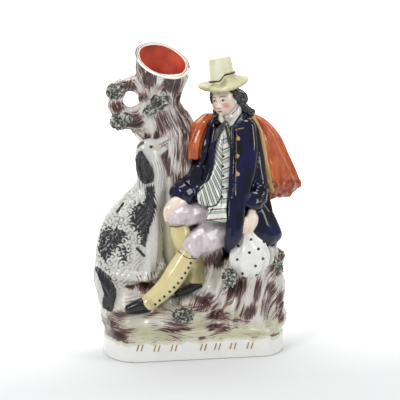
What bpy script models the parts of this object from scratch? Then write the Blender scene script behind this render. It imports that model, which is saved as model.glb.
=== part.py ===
"""Spill vase group of glazed earthenware, one fired piece.

A man sits on a rock beside a tree trunk whose hollow top is the spill cup. A seated dog looks up at
him. The group stands on a low base with rounded ends. +X is to the right of the front, -Y is the
front, and the origin is at the centre of the underside.

The base, the cup, its wall and its bore have sizes of their own. The modelled group is free form: it
is written in shares of its own rise above the base, and every row is
(x, y, z, half width, half depth) of one cross-section along a limb.
"""
import math

import bmesh
import bpy
import numpy as np
from mathutils import Euler, Vector

# Driving sizes of the base, in metres
BASE_LENGTH = 0.193
BASE_DEPTH = 0.094
BASE_HEIGHT = 0.022
BASE_END = 0.031
BASE_EDGE_ROUND = 0.0022
TURF_INSET = 0.0012
TURF_RISE = 0.013
TURF_ROLL = 0.052
TURF_WAVE = 0.0009

# Driving sizes of the group and of the spill cup, in metres and radians
GROUP_RISE = 0.303
CUP_RADIUS = 0.0284
CUP_WALL = 0.0043
BORE_DEPTH = 0.098
BORE_FLOOR_RADIUS = 0.0125
LIP_TILT_BACK = math.radians(25.5)
LIP_TILT_SIDE = math.radians(9.8)
BRANCH_HOLE = 0.018

# Shares: the free form's own unit, with the base's top at TURF_SHARE
SHARES_IN_RISE = 303
TURF_SHARE = 22
SHARE = GROUP_RISE / SHARES_IN_RISE
LIP_CENTRE = (-31.5, 5.0, 310.3)
BARK_DEPTH = 1.5

# Fineness of the joined form
SKIN_STEP = 1.2 * SHARE
SKIN_SOFTENING = 1
FACE_BUDGET = 8700
LIMB_SIDES = 40
RINGS_PER_ROW = 7
CAP_RINGS = 7
CUP_SIDES = 44
SEAT_IN_BASE = 0.004

GLAZE_COLOUR = (0.86, 0.87, 0.84, 1.0)
GLAZE_ROUGHNESS = 0.12


def spot(x, y, z):
    """A place in shares as metres; heights count from the base's top."""
    return Vector((x * SHARE, y * SHARE, BASE_HEIGHT + (z - TURF_SHARE) * SHARE))


def along(rows, count):
    """Rows read at even steps along a Catmull-Rom curve through them."""
    table = np.array(rows, float)
    padded = np.vstack([2 * table[0] - table[1], table, 2 * table[-1] - table[-2]])
    reach = np.linspace(0, len(table) - 1, count)
    first = np.minimum(reach.astype(int), len(table) - 2)
    part = (reach - first)[:, None]
    before, start, end, after = (padded[first + step] for step in range(4))
    return 0.5 * (2 * start + (end - before) * part
                  + (2 * before - 5 * start + 4 * end - after) * part ** 2
                  + (3 * start - before - 3 * end + after) * part ** 3)


def unit(vectors):
    return vectors / np.linalg.norm(vectors, axis=-1, keepdims=True)


def closed_skin(name, rings):
    """A mesh from rings of points, closed at each end by a fan to the end ring's middle."""
    count, sides = rings.shape[:2]
    points = np.vstack([rings.reshape(-1, 3), rings[0].mean(axis=0), rings[-1].mean(axis=0)])
    ring, side = np.meshgrid(np.arange(count - 1), np.arange(sides), indexing="ij")
    corner = ring * sides + side
    beside = ring * sides + (side + 1) % sides
    quads = np.stack([corner, beside, beside + sides, corner + sides], -1).reshape(-1, 4)
    first, last = count * sides, count * sides + 1
    turn = np.arange(sides)
    start_fan = np.stack([turn + 0 * turn, np.full(sides, first), (turn + 1) % sides], -1)
    tail = (count - 1) * sides
    end_fan = np.stack([tail + turn, tail + (turn + 1) % sides, np.full(sides, last)], -1)
    mesh = bpy.data.meshes.new(name)
    mesh.from_pydata(points.tolist(), [], quads.tolist() + start_fan.tolist() + end_fan.tolist())
    solid = bmesh.new()
    solid.from_mesh(mesh)
    bmesh.ops.recalc_face_normals(solid, faces=solid.faces)
    solid.to_mesh(mesh)
    solid.free()
    return mesh


def limb(name, rows, relief=None, squareness=1.0, roundness=1.0, level_cuts=False):
    """A rounded form along a smooth line: each cross-section is an ellipse or a softened box, whose
    depth lies as near to Y as the line allows, and both ends close in a dome. With level cuts the
    cross-sections stay level, as in a standing body or a cape."""
    table = along(rows, (len(rows) - 1) * RINGS_PER_ROW + 1)
    centre, widths = table[:, :3], table[:, 3:]
    heading = unit(np.gradient(centre, axis=0))
    if level_cuts:
        heading = np.sign(heading[:, 2:]) * np.array([[0.0, 0.0, 1.0]])
    depth_way = np.array([0.0, 1.0, 0.0]) - heading * heading[:, 1:2]
    depth_way = unit(depth_way)
    width_way = np.cross(depth_way, heading)
    bend = np.linspace(0, math.pi / 2, CAP_RINGS, endpoint=False)[1:]
    first_cap = centre[0] - heading[0] * np.outer(np.cos(bend) * roundness, widths[0].min())
    last_cap = centre[-1] + heading[-1] * np.outer(np.cos(bend)[::-1] * roundness, widths[-1].min())
    centre = np.vstack([first_cap, centre, last_cap])
    shrink = np.concatenate([np.sin(bend), np.ones(len(table)), np.sin(bend)[::-1]])
    widths = np.vstack([np.repeat(widths[:1], len(bend), 0), widths, np.repeat(widths[-1:], len(bend), 0)])
    widths = widths * shrink[:, None]
    width_way = np.vstack([np.repeat(width_way[:1], len(bend), 0), width_way,
                           np.repeat(width_way[-1:], len(bend), 0)])
    depth_way = np.vstack([np.repeat(depth_way[:1], len(bend), 0), depth_way,
                           np.repeat(depth_way[-1:], len(bend), 0)])
    turn = np.linspace(0, 2 * math.pi, LIMB_SIDES, endpoint=False)
    across = np.sign(np.cos(turn)) * np.abs(np.cos(turn)) ** squareness
    deep = np.sign(np.sin(turn)) * np.abs(np.sin(turn)) ** squareness
    lift = np.zeros((len(centre), LIMB_SIDES))
    if relief is not None:
        level = np.linspace(0, 1, len(centre))[:, None]
        lift = relief(turn[None, :], level) * shrink[:, None]
    reach_across = (widths[:, :1] + lift) * across
    reach_deep = (widths[:, 1:] + lift) * deep
    rings = (centre[:, None] + width_way[:, None] * reach_across[..., None]
             + depth_way[:, None] * reach_deep[..., None])
    return closed_skin(name, in_metres(rings))


def in_metres(rings):
    """An array of places in shares as metres."""
    metres = rings * SHARE
    metres[..., 2] += BASE_HEIGHT - TURF_SHARE * SHARE
    return metres


def lump(name, centre, radii, turn=0.0, relief=None):
    """An ellipsoid turned about Y, with relief added outwards."""
    level = np.linspace(0.06, math.pi - 0.06, 22)[:, None]
    angle = np.linspace(0, 2 * math.pi, LIMB_SIDES, endpoint=False)[None, :]
    grow = np.ones(np.broadcast_shapes(level.shape, angle.shape))
    if relief is not None:
        grow = grow + relief(angle, level / math.pi) * np.sin(level) / min(radii)
    local = np.stack([radii[0] * np.sin(level) * np.cos(angle) * grow,
                      radii[1] * np.sin(level) * np.sin(angle) * grow,
                      radii[2] * np.cos(level) * grow], -1)
    turned = local @ np.array(Euler((0, -turn, 0)).to_matrix()).T
    return closed_skin(name, in_metres(turned + np.array(centre, float)))


def folds(count, depth, lean=0.0, shift=0.0):
    """Long folds: a cosine round the form, drawn sideways along it by the lean."""
    return lambda turn, level: depth * np.cos(count * turn + lean * level + shift)


def locks(across, lengthwise, depth):
    """Locks of fur or curls: two slanting waves that cross."""
    def relief(turn, level):
        first = np.sin(across * turn + lengthwise * level)
        second = np.sin((across + 1) * turn - 0.8 * lengthwise * level + 1.0)
        return depth * (first + second) / 2
    return relief


# Tree trunk with the spill cup

def trunk_rows():
    """The trunk from the cup down to the ground; under the cup its widths are shares of the cup's."""
    cup = CUP_RADIUS / SHARE
    neck = [(x, y, z, share * cup, share * cup) for x, y, z, share in (
        (-31.5, 5, 301, 0.93), (-32.2, 6, 288, 0.866), (-33.6, 6.5, 276, 0.755), (-35.0, 7, 264, 0.72))]
    return neck + [(-32, 8, 249, 23.5, 22), (-26, 9, 232, 28, 24), (-25, 10, 200, 30, 25),
                   (-25, 11, 150, 32, 25), (-24, 12, 100, 38, 26), (-22, 12, 56, 44, 28), (-22, 12, 30, 46, 30)]


def trunk_forms():
    """The trunk under the cup, the looped branch beside it and the clumps of moss on both."""
    loop = BRANCH_HOLE / SHARE / 2
    hole_x, hole_z = -64.6, 267.0
    ring = []
    for degrees, thickness in ((40, 8.0), (90, 6.6), (130, 8.0), (175, 7.2), (215, 7.2), (262, 8.6),
                               (310, 9.0)):
        angle = math.radians(degrees)
        reach = loop + thickness
        ring.append((hole_x + reach * math.cos(angle), 4.0, hole_z + reach * math.sin(angle),
                     thickness, thickness + 0.8))
    yield limb("trunk", trunk_rows(), folds(9, BARK_DEPTH, 2.0))
    yield limb("branch_loop", ring)
    yield limb("low_branch", [(-44, 5, 241, 10, 10), (-60, 3, 240, 7.5, 8.5), (-74, 2, 242, 7, 8)])
    yield lump("upper_moss", (-85.2, 0, 277.5), (9.5, 9, 8.2), 0.3, locks(5, 9, 1.0))
    yield lump("lower_moss", (-76.5, -1, 244.5), (11.5, 9.5, 9.6), 0.4, locks(5, 9, 1.0))
    yield lump("trunk_moss", (-43.5, -12.5, 263.5), (14, 6, 7), 0.55, locks(5, 9, 1.0))


# Seated dog

def dog_forms():
    """The dog in profile, head raised towards the man, front legs straight, tail hanging over the base."""
    fur = locks(7, 24, 2.8)
    yield limb("dog_body", [(-50, -9, 213, 13, 11), (-47.5, -9, 200, 15, 13), (-46, -9, 187, 16, 15),
                            (-49, -8, 172, 20, 17), (-57, -7, 155, 25.5, 19), (-66, -6, 135, 31, 21),
                            (-71, -5, 115, 32, 22), (-74, -4, 95, 31, 22), (-74, -3, 72, 30, 20)], fur)
    yield lump("dog_skull", (-50.5, -10, 217.5), (11.5, 9.8, 9.6), 0.3)
    yield limb("dog_muzzle", [(-47, -11, 219, 8.2, 8.0), (-39, -12.5, 222.4, 6.0, 6.0),
                              (-32.5, -13.5, 226.0, 4.8, 5.0), (-29.5, -14, 228.2, 4.0, 4.4)])
    yield limb("dog_jaw", [(-47, -11, 212.5, 6.5, 6.5), (-40, -12, 212.6, 4.4, 5), (-34, -13, 215.2, 3.2, 4.2),
                           (-30.5, -13.5, 217.6, 2.6, 3.6)])
    yield limb("dog_ear", [(-58, -18, 214, 4.5, 4), (-56, -21, 206, 8.0, 4.2), (-53, -22.5, 196, 8.8, 4.2),
                           (-50.5, -22.5, 187.5, 5.4, 3.6)], folds(4, 0.5))
    yield limb("dog_near_leg", [(-48, -13, 152, 12, 11), (-48, -19, 128, 9.5, 9), (-49, -23, 106, 7.5, 7.5),
                                (-51, -24, 92, 7, 7), (-55, -26, 86, 8, 6)], folds(4, 0.8, 9.0))
    yield limb("dog_far_leg", [(-42, -8, 145, 9, 10), (-41, -12, 120, 7, 8), (-41, -15, 100, 6, 7),
                               (-43, -19, 89, 6.5, 6.5), (-47, -23, 86, 6.5, 5)])
    yield lump("dog_haunch", (-86, -12, 103), (19, 14, 27), 0.25, locks(5, 16, 2.2))
    yield limb("dog_hind_foot", [(-88, -18, 81, 8, 8), (-76, -24, 79, 7.5, 7), (-66, -27, 79, 7, 6)])
    yield limb("dog_tail", [(-99, -12, 100, 5.5, 6), (-98, -17, 86, 9, 7), (-94, -20, 72, 11, 8),
                            (-93, -20, 60, 9.5, 7.5), (-92, -19, 50, 5.5, 6)], folds(5, 0.9, 4.0))


# Seated man

def head_forms():
    """Head, hair, neck cloth and the soft hat with its drooping brim."""
    yield lump("head", (33, -1, 262.5), (13.2, 14.0, 16.2))
    yield limb("chin", [(30.5, -7, 257, 8, 7.5), (29.5, -8, 252, 5.5, 5.5)])
    yield limb("nose", [(26.5, -12.5, 266, 1.6, 2), (25, -14, 261, 2.2, 2.4)])
    yield limb("hair_roll", [(40, 4, 276, 11, 12), (47, 4, 268, 10, 10), (53, 4, 259, 8, 9),
                             (56, 5, 251, 7, 7), (62, 6, 247.5, 5, 5)], folds(4, 0.9, 7.0))
    yield limb("neck", [(36, 1, 254, 10, 10), (39, 2, 243, 12.5, 12)])
    yield limb("neck_cloth", [(28, -10, 246, 5, 4), (36, -12.5, 240, 6.5, 5), (30, -16.5, 232, 5.5, 4),
                              (27, -19, 222, 4.5, 3)])
    yield hat()


def hat():
    """The hat is a turned profile, leaning to the dog's side; its brim droops most at front and back."""
    profile = ((9.6, 19.5), (10.9, 18.2), (12.4, 8.0), (14.2, 0.5), (17.0, -2.2), (22.5, -5.0), (26.3, -7.2),
               (26.6, -8.8), (22.0, -8.0), (15.0, -5.5))
    droop_from, brim_radius = 14.2, 26.5
    turn = np.linspace(0, 2 * math.pi, LIMB_SIDES, endpoint=False)[None, :]
    outline = along(profile, len(profile) * 3)
    radius, height = outline[:, :1], outline[:, 1:]
    share_of_brim = np.clip((radius - droop_from) / (brim_radius - droop_from), 0, 1)
    sides_up = 5.5 * np.cos(2 * turn) + 2.2 * np.cos(turn)
    droop = share_of_brim * (4.2 - sides_up) * (1 - 0.25 * np.sin(turn))
    local = np.stack([radius * np.cos(turn), radius * np.sin(turn), height - droop], -1)
    turned = local @ np.array(Euler((0, -math.radians(10), 0)).to_matrix()).T
    return closed_skin("hat", in_metres(turned + np.array([32.0, 0.0, 290.0])))


def coat_forms():
    """The open coat, its sleeves with cuffs, and the skirt that spreads over the rock."""
    yield limb("coat", [(42, 5, 247, 15, 13), (44, 5, 240, 28, 17), (44, 5, 226, 30, 20),
                        (43, 4, 205, 28, 21), (42, 2, 184, 28, 21), (42, 1, 165, 31, 22),
                        (44, 0, 146, 35, 23), (50, 0, 124, 39, 24), (54, 0, 112, 36, 22)],
               folds(3, 0.8, 2.0), 0.9, 1.0, True)
    yield limb("waistcoat", [(34, -11, 236, 6, 7), (31, -15, 215, 10, 8), (27, -17, 190, 15, 8),
                             (20, -17, 168, 19, 9), (18, -16, 158, 16, 8)], None, 0.9)
    yield limb("coat_skirt", [(68, 1, 160, 13, 15), (75, -1, 142, 18, 18), (78, -2, 122, 19.5, 19),
                              (75, -2, 107, 12, 16)], folds(5, 2.0, 2.0), 1.0, 1.0, True)
    yield limb("front_skirt", [(41, -15, 156, 9, 9), (43, -21, 138, 11, 9), (44, -23, 122, 11.5, 9),
                               (42, -23, 113, 10, 8)], folds(4, 1.0))
    yield limb("right_sleeve", [(18, 5, 236, 12, 13), (12, 2, 214, 12.5, 13), (9, -3, 196, 12.5, 12.5),
                                (0, -11, 183, 12.5, 12), (-12, -19, 172.5, 12.5, 12), (-19, -23, 167, 12, 12)],
               folds(2, 1.5, 16.0))
    yield limb("left_sleeve", [(69, 7, 237, 12, 13), (75, 5, 220, 12.5, 13.5), (76.5, 2, 198, 13, 14),
                               (74, -4, 180, 13, 13.5), (69, -13, 168, 12.5, 12), (63, -18, 160, 11.5, 11)],
               folds(2, 1.4, 14.0))
    for name, centre, tilt in (("right_cuff", (-20, -23.5, 166), 0.75), ("left_cuff", (62.5, -18.5, 159.5), 0.9)):
        yield lump(name, centre, (8.5, 13.2, 13.2), -tilt)


def hand_forms():
    """Each hand is a palm with four fingers side by side and a thumb."""
    yield limb("right_palm", [(-23, -26, 160, 8, 7), (-27, -29, 152, 8, 6.5)])
    yield limb("left_palm", [(60, -22, 152, 7.6, 6.5), (57, -25, 144, 8.4, 6.5)])
    for finger in range(4):
        aside = -5.4 + 3.6 * finger
        yield limb("right_finger", [(-28 + aside, -31, 150, 2.3, 2.8), (-30.5 + aside, -33, 143, 2.2, 2.6),
                                    (-31 + aside, -32, 137, 1.9, 2.2)])
        yield limb("left_finger", [(56 + aside, -28, 142, 2.3, 2.8), (54.5 + 0.8 * aside, -30, 134.5, 2.2, 2.6),
                                   (53 + 0.5 * aside, -30, 128.5, 1.9, 2.2)])


def leg_forms():
    """Breeches to the knee, buttoned gaiters below, and shoes; the left leg lies across the right."""
    cloth = folds(2, 0.7, 12.0)
    yield limb("right_thigh", [(30, -3, 146, 17, 18), (12, -12, 150, 15.5, 16), (-5, -20, 151.5, 14, 14),
                               (-18, -26, 150, 13, 13), (-20, -28, 146, 12.5, 12.5)], cloth)
    yield limb("right_gaiter", [(-17, -27, 144, 11.5, 11), (-10, -26, 128, 11.5, 11), (-2, -24, 108, 11.5, 11),
                                (2, -22, 92, 10.5, 10), (2.5, -22, 80, 8.5, 9)])
    yield limb("right_shoe", [(5, -20, 75, 5.5, 6.5), (-6, -25, 69.5, 6.5, 6.5), (-18, -29, 63.5, 5.5, 5.5)])
    yield limb("left_thigh", [(42, -6, 131, 19, 18), (25, -18, 128.5, 17.5, 17), (9, -29, 123, 15.5, 15),
                              (-4, -36, 115.5, 13, 12.5), (-10, -39, 111, 11, 11)], cloth)
    yield limb("left_gaiter", [(-12, -40, 109.5, 10.6, 10.5), (-24, -40, 96, 10.4, 10), (-36, -39, 81, 9.8, 9),
                               (-48, -38, 67, 8.8, 8.5), (-52, -38, 62.5, 8.8, 8.5)])
    yield limb("left_shoe", [(-56, -38, 58.5, 6.8, 7), (-66, -38.5, 55.5, 6.4, 6.5), (-74, -39, 53.5, 4.8, 5)])


def cape_forms():
    """The cape lies over both shoulders, falls down the back, stands out wide on the right and covers
    the right upper arm."""
    pleats = folds(13, 2.3, 1.0)
    yield limb("cape", [(46, 9, 252, 20, 11), (40, 10, 243, 36, 15), (42.5, 12, 228, 46, 18),
                        (47.5, 13, 206, 55, 20), (56, 14, 184, 58, 21), (63, 14, 170, 55.5, 20),
                        (68, 14, 162, 51, 19)], pleats, 0.85, 0.25, True)
    yield limb("cape_hem", [(92, 13, 178, 20, 13), (96, 13, 167, 20.5, 12), (96, 13, 160, 15, 10)],
               folds(7, 1.6), 0.9, 0.3, True)
    yield limb("cape_front", [(23, 4, 250, 9, 10), (14, 2, 240, 13, 12), (7, 1, 222, 13.5, 13),
                              (3, 1, 206, 13.5, 13)], folds(7, 1.2), 0.9, 0.25, True)


def bundle_forms():
    """A spotted kerchief tied into a bundle, held by its knot."""
    yield lump("bundle", (55.5, -28, 105.5), (21.5, 13.5, 21.5), 0.0, folds(7, 0.6))
    yield limb("bundle_knot", [(54, -29, 124, 9, 8), (52, -29, 131, 5.5, 5.5)], folds(5, 0.7))


# Rock and ground

def rock_forms():
    """The rock seat on the right, knobs on its side, the bank under the dog and the ground between."""
    combed = folds(13, 2.4, 5.0)
    yield limb("rock_seat", [(70, 2, 106, 24, 28), (66, 1, 88, 31, 34), (62, 0, 62, 36, 38), (58, 0, 34, 38, 41)],
               combed, 0.9, 0.5)
    yield limb("rock_front", [(44, -16, 92, 13, 12), (38, -20, 72, 18, 15), (32, -22, 50, 24, 18),
                              (28, -22, 34, 28, 21)], combed)
    yield limb("rock_step", [(12, 2, 112, 22, 24), (12, 0, 84, 24, 26), (14, 0, 50, 32, 32)], folds(9, 1.2, 3.0))
    yield lump("rock_knob", (90, -1, 97), (10, 14, 10), 0.4, locks(4, 8, 1.0))
    yield lump("rock_side", (86, -2, 62), (14, 27, 21), -0.2, folds(9, 1.6, 4.0))
    yield lump("rock_foot", (88, -3, 34), (13.5, 30, 13), 0.0, locks(7, 9, 1.0))
    yield lump("rock_moss", (40, -33, 84), (7.5, 6, 12), 0.2, locks(4, 8, 1.0))
    yield lump("ground_moss", (-17, -39, 46), (12.5, 6, 8.5), 0.1, locks(5, 8, 1.0))
    yield lump("dog_bank", (-68, 0, 46), (34, 38, 40), 0.0, locks(7, 9, 1.4))
    yield lump("front_bank", (-48, -20, 38), (44, 23, 15.5), 0.06, locks(9, 7, 1.0))
    yield lump("shoe_bank", (-6, -18, 44), (34, 24, 21), -0.05, locks(7, 8, 1.2))


def oval_end_outline(length, depth, end, steps=24):
    """The base's plan: straight front and back, with half an ellipse at each end."""
    bend = np.linspace(-math.pi / 2, math.pi / 2, steps)
    straight = length / 2 - end
    right = np.stack([straight + end * np.cos(bend), depth / 2 * np.sin(bend)], -1)
    return np.vstack([right, -right])


def turf():
    """Low ground over the whole base: the base's plan, drawn in as it rises and rolled at its edge."""
    levels = []
    for rise in np.linspace(0, math.pi / 2, 9):
        inset = TURF_INSET + TURF_ROLL * (1 - math.cos(rise)) ** 1.5
        outline = oval_end_outline(BASE_LENGTH - 2 * inset, BASE_DEPTH - 1.4 * inset, BASE_END - 0.5 * inset)
        around = np.linspace(0, 14 * math.pi, len(outline), endpoint=False)
        waves = TURF_WAVE * np.sin(around) * math.sin(rise)
        height = BASE_HEIGHT + TURF_RISE * math.sin(rise) + waves
        levels.append(np.column_stack([outline, height]))
    sunk = levels[0].copy()
    sunk[:, 2] = BASE_HEIGHT - 2 * SEAT_IN_BASE
    return closed_skin("turf", np.array([sunk] + levels))


# Joining and cutting

def place(mesh, name, guide=False):
    thing = bpy.data.objects.new(name, mesh)
    bpy.context.scene.collection.objects.link(thing)
    if guide:
        thing.hide_render = True
        thing.display_type = "WIRE"
    return thing


def evaluated_copy(thing, name):
    """The mesh of an object with its modifiers worked in."""
    bpy.context.view_layer.update()
    graph = bpy.context.evaluated_depsgraph_get()
    mesh = bpy.data.meshes.new_from_object(thing.evaluated_get(graph))
    mesh.name = name
    return mesh


def joined_group():
    """All free forms grown into one skin, softened and reduced to the face budget."""
    makers = (trunk_forms, dog_forms, head_forms, coat_forms, cape_forms, hand_forms, leg_forms, bundle_forms,
              rock_forms)
    gathered = bmesh.new()
    for maker in makers:
        for mesh in maker():
            gathered.from_mesh(mesh)
    gathered.from_mesh(turf())
    rough_mesh = bpy.data.meshes.new("rough_group")
    gathered.to_mesh(rough_mesh)
    gathered.free()
    rough = place(rough_mesh, "rough_group", guide=True)
    skin = rough.modifiers.new("one_skin", "REMESH")
    skin.mode = "VOXEL"
    skin.voxel_size = SKIN_STEP
    soften = rough.modifiers.new("soften", "SMOOTH")
    soften.factor = 0.5
    soften.iterations = SKIN_SOFTENING
    fine_mesh = evaluated_copy(rough, "fine_group")
    fine_mesh.calc_loop_triangles()
    fine = place(fine_mesh, "fine_group", guide=True)
    fewer = fine.modifiers.new("fewer_faces", "DECIMATE")
    fewer.ratio = min(1.0, FACE_BUDGET / len(fine_mesh.loop_triangles))
    fewer.use_collapse_triangulate = True
    group_mesh = evaluated_copy(fine, "spill_vase")
    for spent in (rough, fine):
        bpy.data.objects.remove(spent)
    return group_mesh


def stacked_circles(name, circles):
    """A round form from rows of (x, y, z, radius), top to bottom, closed at both ends."""
    table = np.array(circles, float)[:, None, :]
    turn = np.linspace(0, 2 * math.pi, CUP_SIDES, endpoint=False)
    rings = np.stack(np.broadcast_arrays(table[..., 0] + table[..., 3] * np.cos(turn),
                                         table[..., 1] + table[..., 3] * np.sin(turn), table[..., 2]), -1)
    return place(closed_skin(name, in_metres(rings)), name, guide=True)


def cup_wall():
    """The round wall of the cup, taller than the lip cut, flaring up out of the trunk."""
    cup = CUP_RADIUS / SHARE
    x, y, lip = LIP_CENTRE
    profile = ((1.0, 1.0), (1.0, -0.3), (0.925, -0.78), (0.82, -1.05), (0.66, -1.25))
    return stacked_circles("cup_wall", [(x, y, lip + rise * cup, share * cup) for share, rise in profile])


def bore_cutter():
    """The empty bore: it keeps one wall inside the cup and the trunk, and ends in a rounded floor."""
    cup, wall, floor = (size / SHARE for size in (CUP_RADIUS, CUP_WALL, BORE_FLOOR_RADIUS))
    x, y, lip = LIP_CENTRE
    circles = [(x, y, lip + 1.6 * cup, cup - wall), (x, y, lip - 0.3 * cup, cup - wall)]
    circles += [(row[0], row[1], row[2], row[3] - BARK_DEPTH - wall) for row in trunk_rows()[1:4]]
    floor_middle = lip - BORE_DEPTH / SHARE + floor
    for degrees in (0, 30, 60):
        bend = math.radians(degrees)
        circles.append((x - 1, y + 1, floor_middle - floor * math.sin(bend), floor * math.cos(bend)))
    return stacked_circles("bore_cutter", circles)


def box_cutter(name, size, centre, turn=(0, 0, 0)):
    box = bmesh.new()
    bmesh.ops.create_cube(box, size=1.0)
    bmesh.ops.scale(box, vec=size, verts=box.verts)
    mesh = bpy.data.meshes.new(name)
    box.to_mesh(mesh)
    box.free()
    cutter = place(mesh, name, guide=True)
    cutter.location = centre
    cutter.rotation_euler = turn
    return cutter


def lip_cutter():
    """Everything above the slanting lip: the lip rises to the back and falls to the man's side."""
    side = 6 * CUP_RADIUS
    turn = Euler((LIP_TILT_BACK, LIP_TILT_SIDE, 0))
    lift = turn.to_matrix() @ Vector((0, 0, side / 2))
    return box_cutter("lip_cutter", (0.6 * side, 0.6 * side, side), spot(*LIP_CENTRE) + lift, turn)


def base_block():
    """The low base, its upper edge rounded."""
    outline = oval_end_outline(BASE_LENGTH, BASE_DEPTH, BASE_END)
    shape = bmesh.new()
    face = shape.faces.new([shape.verts.new((x, y, 0.0)) for x, y in outline])
    raised = bmesh.ops.extrude_face_region(shape, geom=[face])
    top = [item for item in raised["geom"] if isinstance(item, bmesh.types.BMVert)]
    bmesh.ops.translate(shape, vec=(0, 0, BASE_HEIGHT), verts=top)
    bmesh.ops.recalc_face_normals(shape, faces=shape.faces)
    rim = [edge for edge in shape.edges if all(vert.co.z > BASE_HEIGHT / 2 for vert in edge.verts)]
    bmesh.ops.bevel(shape, geom=rim, offset=BASE_EDGE_ROUND, segments=3, profile=0.5, affect="EDGES")
    mesh = bpy.data.meshes.new("base_block")
    shape.to_mesh(mesh)
    shape.free()
    return place(mesh, "base_block", guide=True)


def combine(thing, other, operation):
    cut = thing.modifiers.new(f"{operation.lower()}_{other.name}", "BOOLEAN")
    cut.operation = operation
    cut.solver = "EXACT"
    cut.object = other


def glaze():
    material = bpy.data.materials.new("white_glaze")
    material.use_nodes = True
    shader = material.node_tree.nodes["Principled BSDF"]
    shader.inputs["Base Color"].default_value = GLAZE_COLOUR
    shader.inputs["Roughness"].default_value = GLAZE_ROUGHNESS
    shader.inputs["Metallic"].default_value = 0.0
    return material


def main():
    for thing in list(bpy.data.objects):
        bpy.data.objects.remove(thing)
    vase = place(joined_group(), "spill_vase")
    below = box_cutter("below_turf", (2 * BASE_LENGTH, 3 * BASE_DEPTH, BASE_HEIGHT * 2),
                       (0, 0, -SEAT_IN_BASE))
    combine(vase, below, "DIFFERENCE")
    combine(vase, base_block(), "UNION")
    combine(vase, cup_wall(), "UNION")
    combine(vase, lip_cutter(), "DIFFERENCE")
    combine(vase, bore_cutter(), "DIFFERENCE")
    vase.data.shade_smooth()
    vase.data.materials.append(glaze())


main()
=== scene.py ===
"""Painted and glazed looks of the spill vase group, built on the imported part.

The group's forms are worked out in millimetres of the written size: rows (x, y, z, half width, half
depth) carried along smooth lines, closed by domes and carved by relief along their normals. Paint
that the decorator laid on the front is placed in the front view's own frame, VIEW_SIDE units wide
and high, counted from the upper left; each brush mark is a distance, below zero inside the mark.
"""

import math

import bpy
import numpy as np
from mathutils import Euler, Matrix, Vector


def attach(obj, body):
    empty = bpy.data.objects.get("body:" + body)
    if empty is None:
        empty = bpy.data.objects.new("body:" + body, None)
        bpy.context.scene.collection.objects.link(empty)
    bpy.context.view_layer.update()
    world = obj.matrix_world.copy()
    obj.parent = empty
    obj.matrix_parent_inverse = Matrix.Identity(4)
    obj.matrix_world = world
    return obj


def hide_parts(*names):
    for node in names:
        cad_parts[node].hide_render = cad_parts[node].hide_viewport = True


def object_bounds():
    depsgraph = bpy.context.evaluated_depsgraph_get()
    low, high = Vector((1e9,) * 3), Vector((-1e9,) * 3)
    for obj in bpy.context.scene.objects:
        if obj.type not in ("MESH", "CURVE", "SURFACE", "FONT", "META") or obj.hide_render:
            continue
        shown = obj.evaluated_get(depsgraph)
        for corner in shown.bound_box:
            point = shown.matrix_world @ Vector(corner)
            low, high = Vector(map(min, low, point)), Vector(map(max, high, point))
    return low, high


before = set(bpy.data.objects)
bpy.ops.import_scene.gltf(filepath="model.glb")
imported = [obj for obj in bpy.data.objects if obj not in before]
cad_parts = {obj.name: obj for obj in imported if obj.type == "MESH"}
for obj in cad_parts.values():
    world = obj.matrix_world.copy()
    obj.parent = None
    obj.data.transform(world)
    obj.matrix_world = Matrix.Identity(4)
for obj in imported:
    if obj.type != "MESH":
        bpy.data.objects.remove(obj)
CAD_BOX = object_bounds()
NODE = "spill_vase"
BODY = "root"
FAR_FROM_MARK, OFF_FRONT = 9.0, 12.0
BOX_MARGIN = 0.02

# The part's sizes, in millimetres of the written size
GROUP_TOP = 324.87
BASE_LENGTH, BASE_DEPTH, BASE_HEIGHT, BASE_END = 193.0, 94.0, 22.0, 31.0
CUP_RADIUS, CUP_WALL, BORE_DEPTH, BORE_FLOOR = 28.4, 4.3, 96.1, 12.5
LIP = np.array([-31.5, 5.0, 307.4])
LIP_TILT_BACK, LIP_TILT_SIDE = math.radians(30.6), math.radians(10.2)
BRANCH_HOLE = 18.0
MM = (CAD_BOX[1].z - CAD_BOX[0].z) / GROUP_TOP

# The front view
VIEW_SIDE, VIEW_FOCAL = 400, 1185.0
VIEW_AIM = np.array([7.0, 0.0, 160.2])
VIEW_DISTANCE = 1250.0
VIEW_TURN, VIEW_RISE = math.radians(-9.5), math.radians(9.5)
VIEW_BACK = np.array([math.sin(VIEW_TURN) * math.cos(VIEW_RISE),
                      -math.cos(VIEW_TURN) * math.cos(VIEW_RISE), math.sin(VIEW_RISE)])
VIEW_RIGHT = np.array([math.cos(VIEW_TURN), math.sin(VIEW_TURN), 0.0])
VIEW_UP = np.cross(VIEW_BACK, VIEW_RIGHT)
VIEW_EYE = VIEW_AIM + VIEW_BACK * VIEW_DISTANCE


# Mixing numbers that turn a lattice cell into a random number
CELL_FACTORS, SEED_FACTOR = (73856093, 19349663, 83492791), 2654435761
MIXING_ROUNDS = ((13, 1274126177), (11, 974634777))
RANDOM_TOP = 0x7FFFFFFF


# Places and measures

def seen(points):
    """Where points show in the front view: right and down, in view units."""
    ray = points - VIEW_EYE
    near = -(ray @ VIEW_BACK)
    half = VIEW_SIDE / 2
    return grid(half + VIEW_FOCAL * (ray @ VIEW_RIGHT) / near, half - VIEW_FOCAL * (ray @ VIEW_UP) / near)


def stand(*rows):
    """Rows (right, down, y, half width, half depth) of the front view as rows in millimetres."""
    placed, half = [], VIEW_SIDE / 2
    for right, down, depth, *widths in rows:
        ray = (VIEW_RIGHT * (right - half) + VIEW_UP * (half - down)) / VIEW_FOCAL - VIEW_BACK
        reach = (depth - VIEW_EYE[1]) / ray[1]
        placed.append((*(VIEW_EYE + ray * reach), *widths))
    return placed


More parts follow.
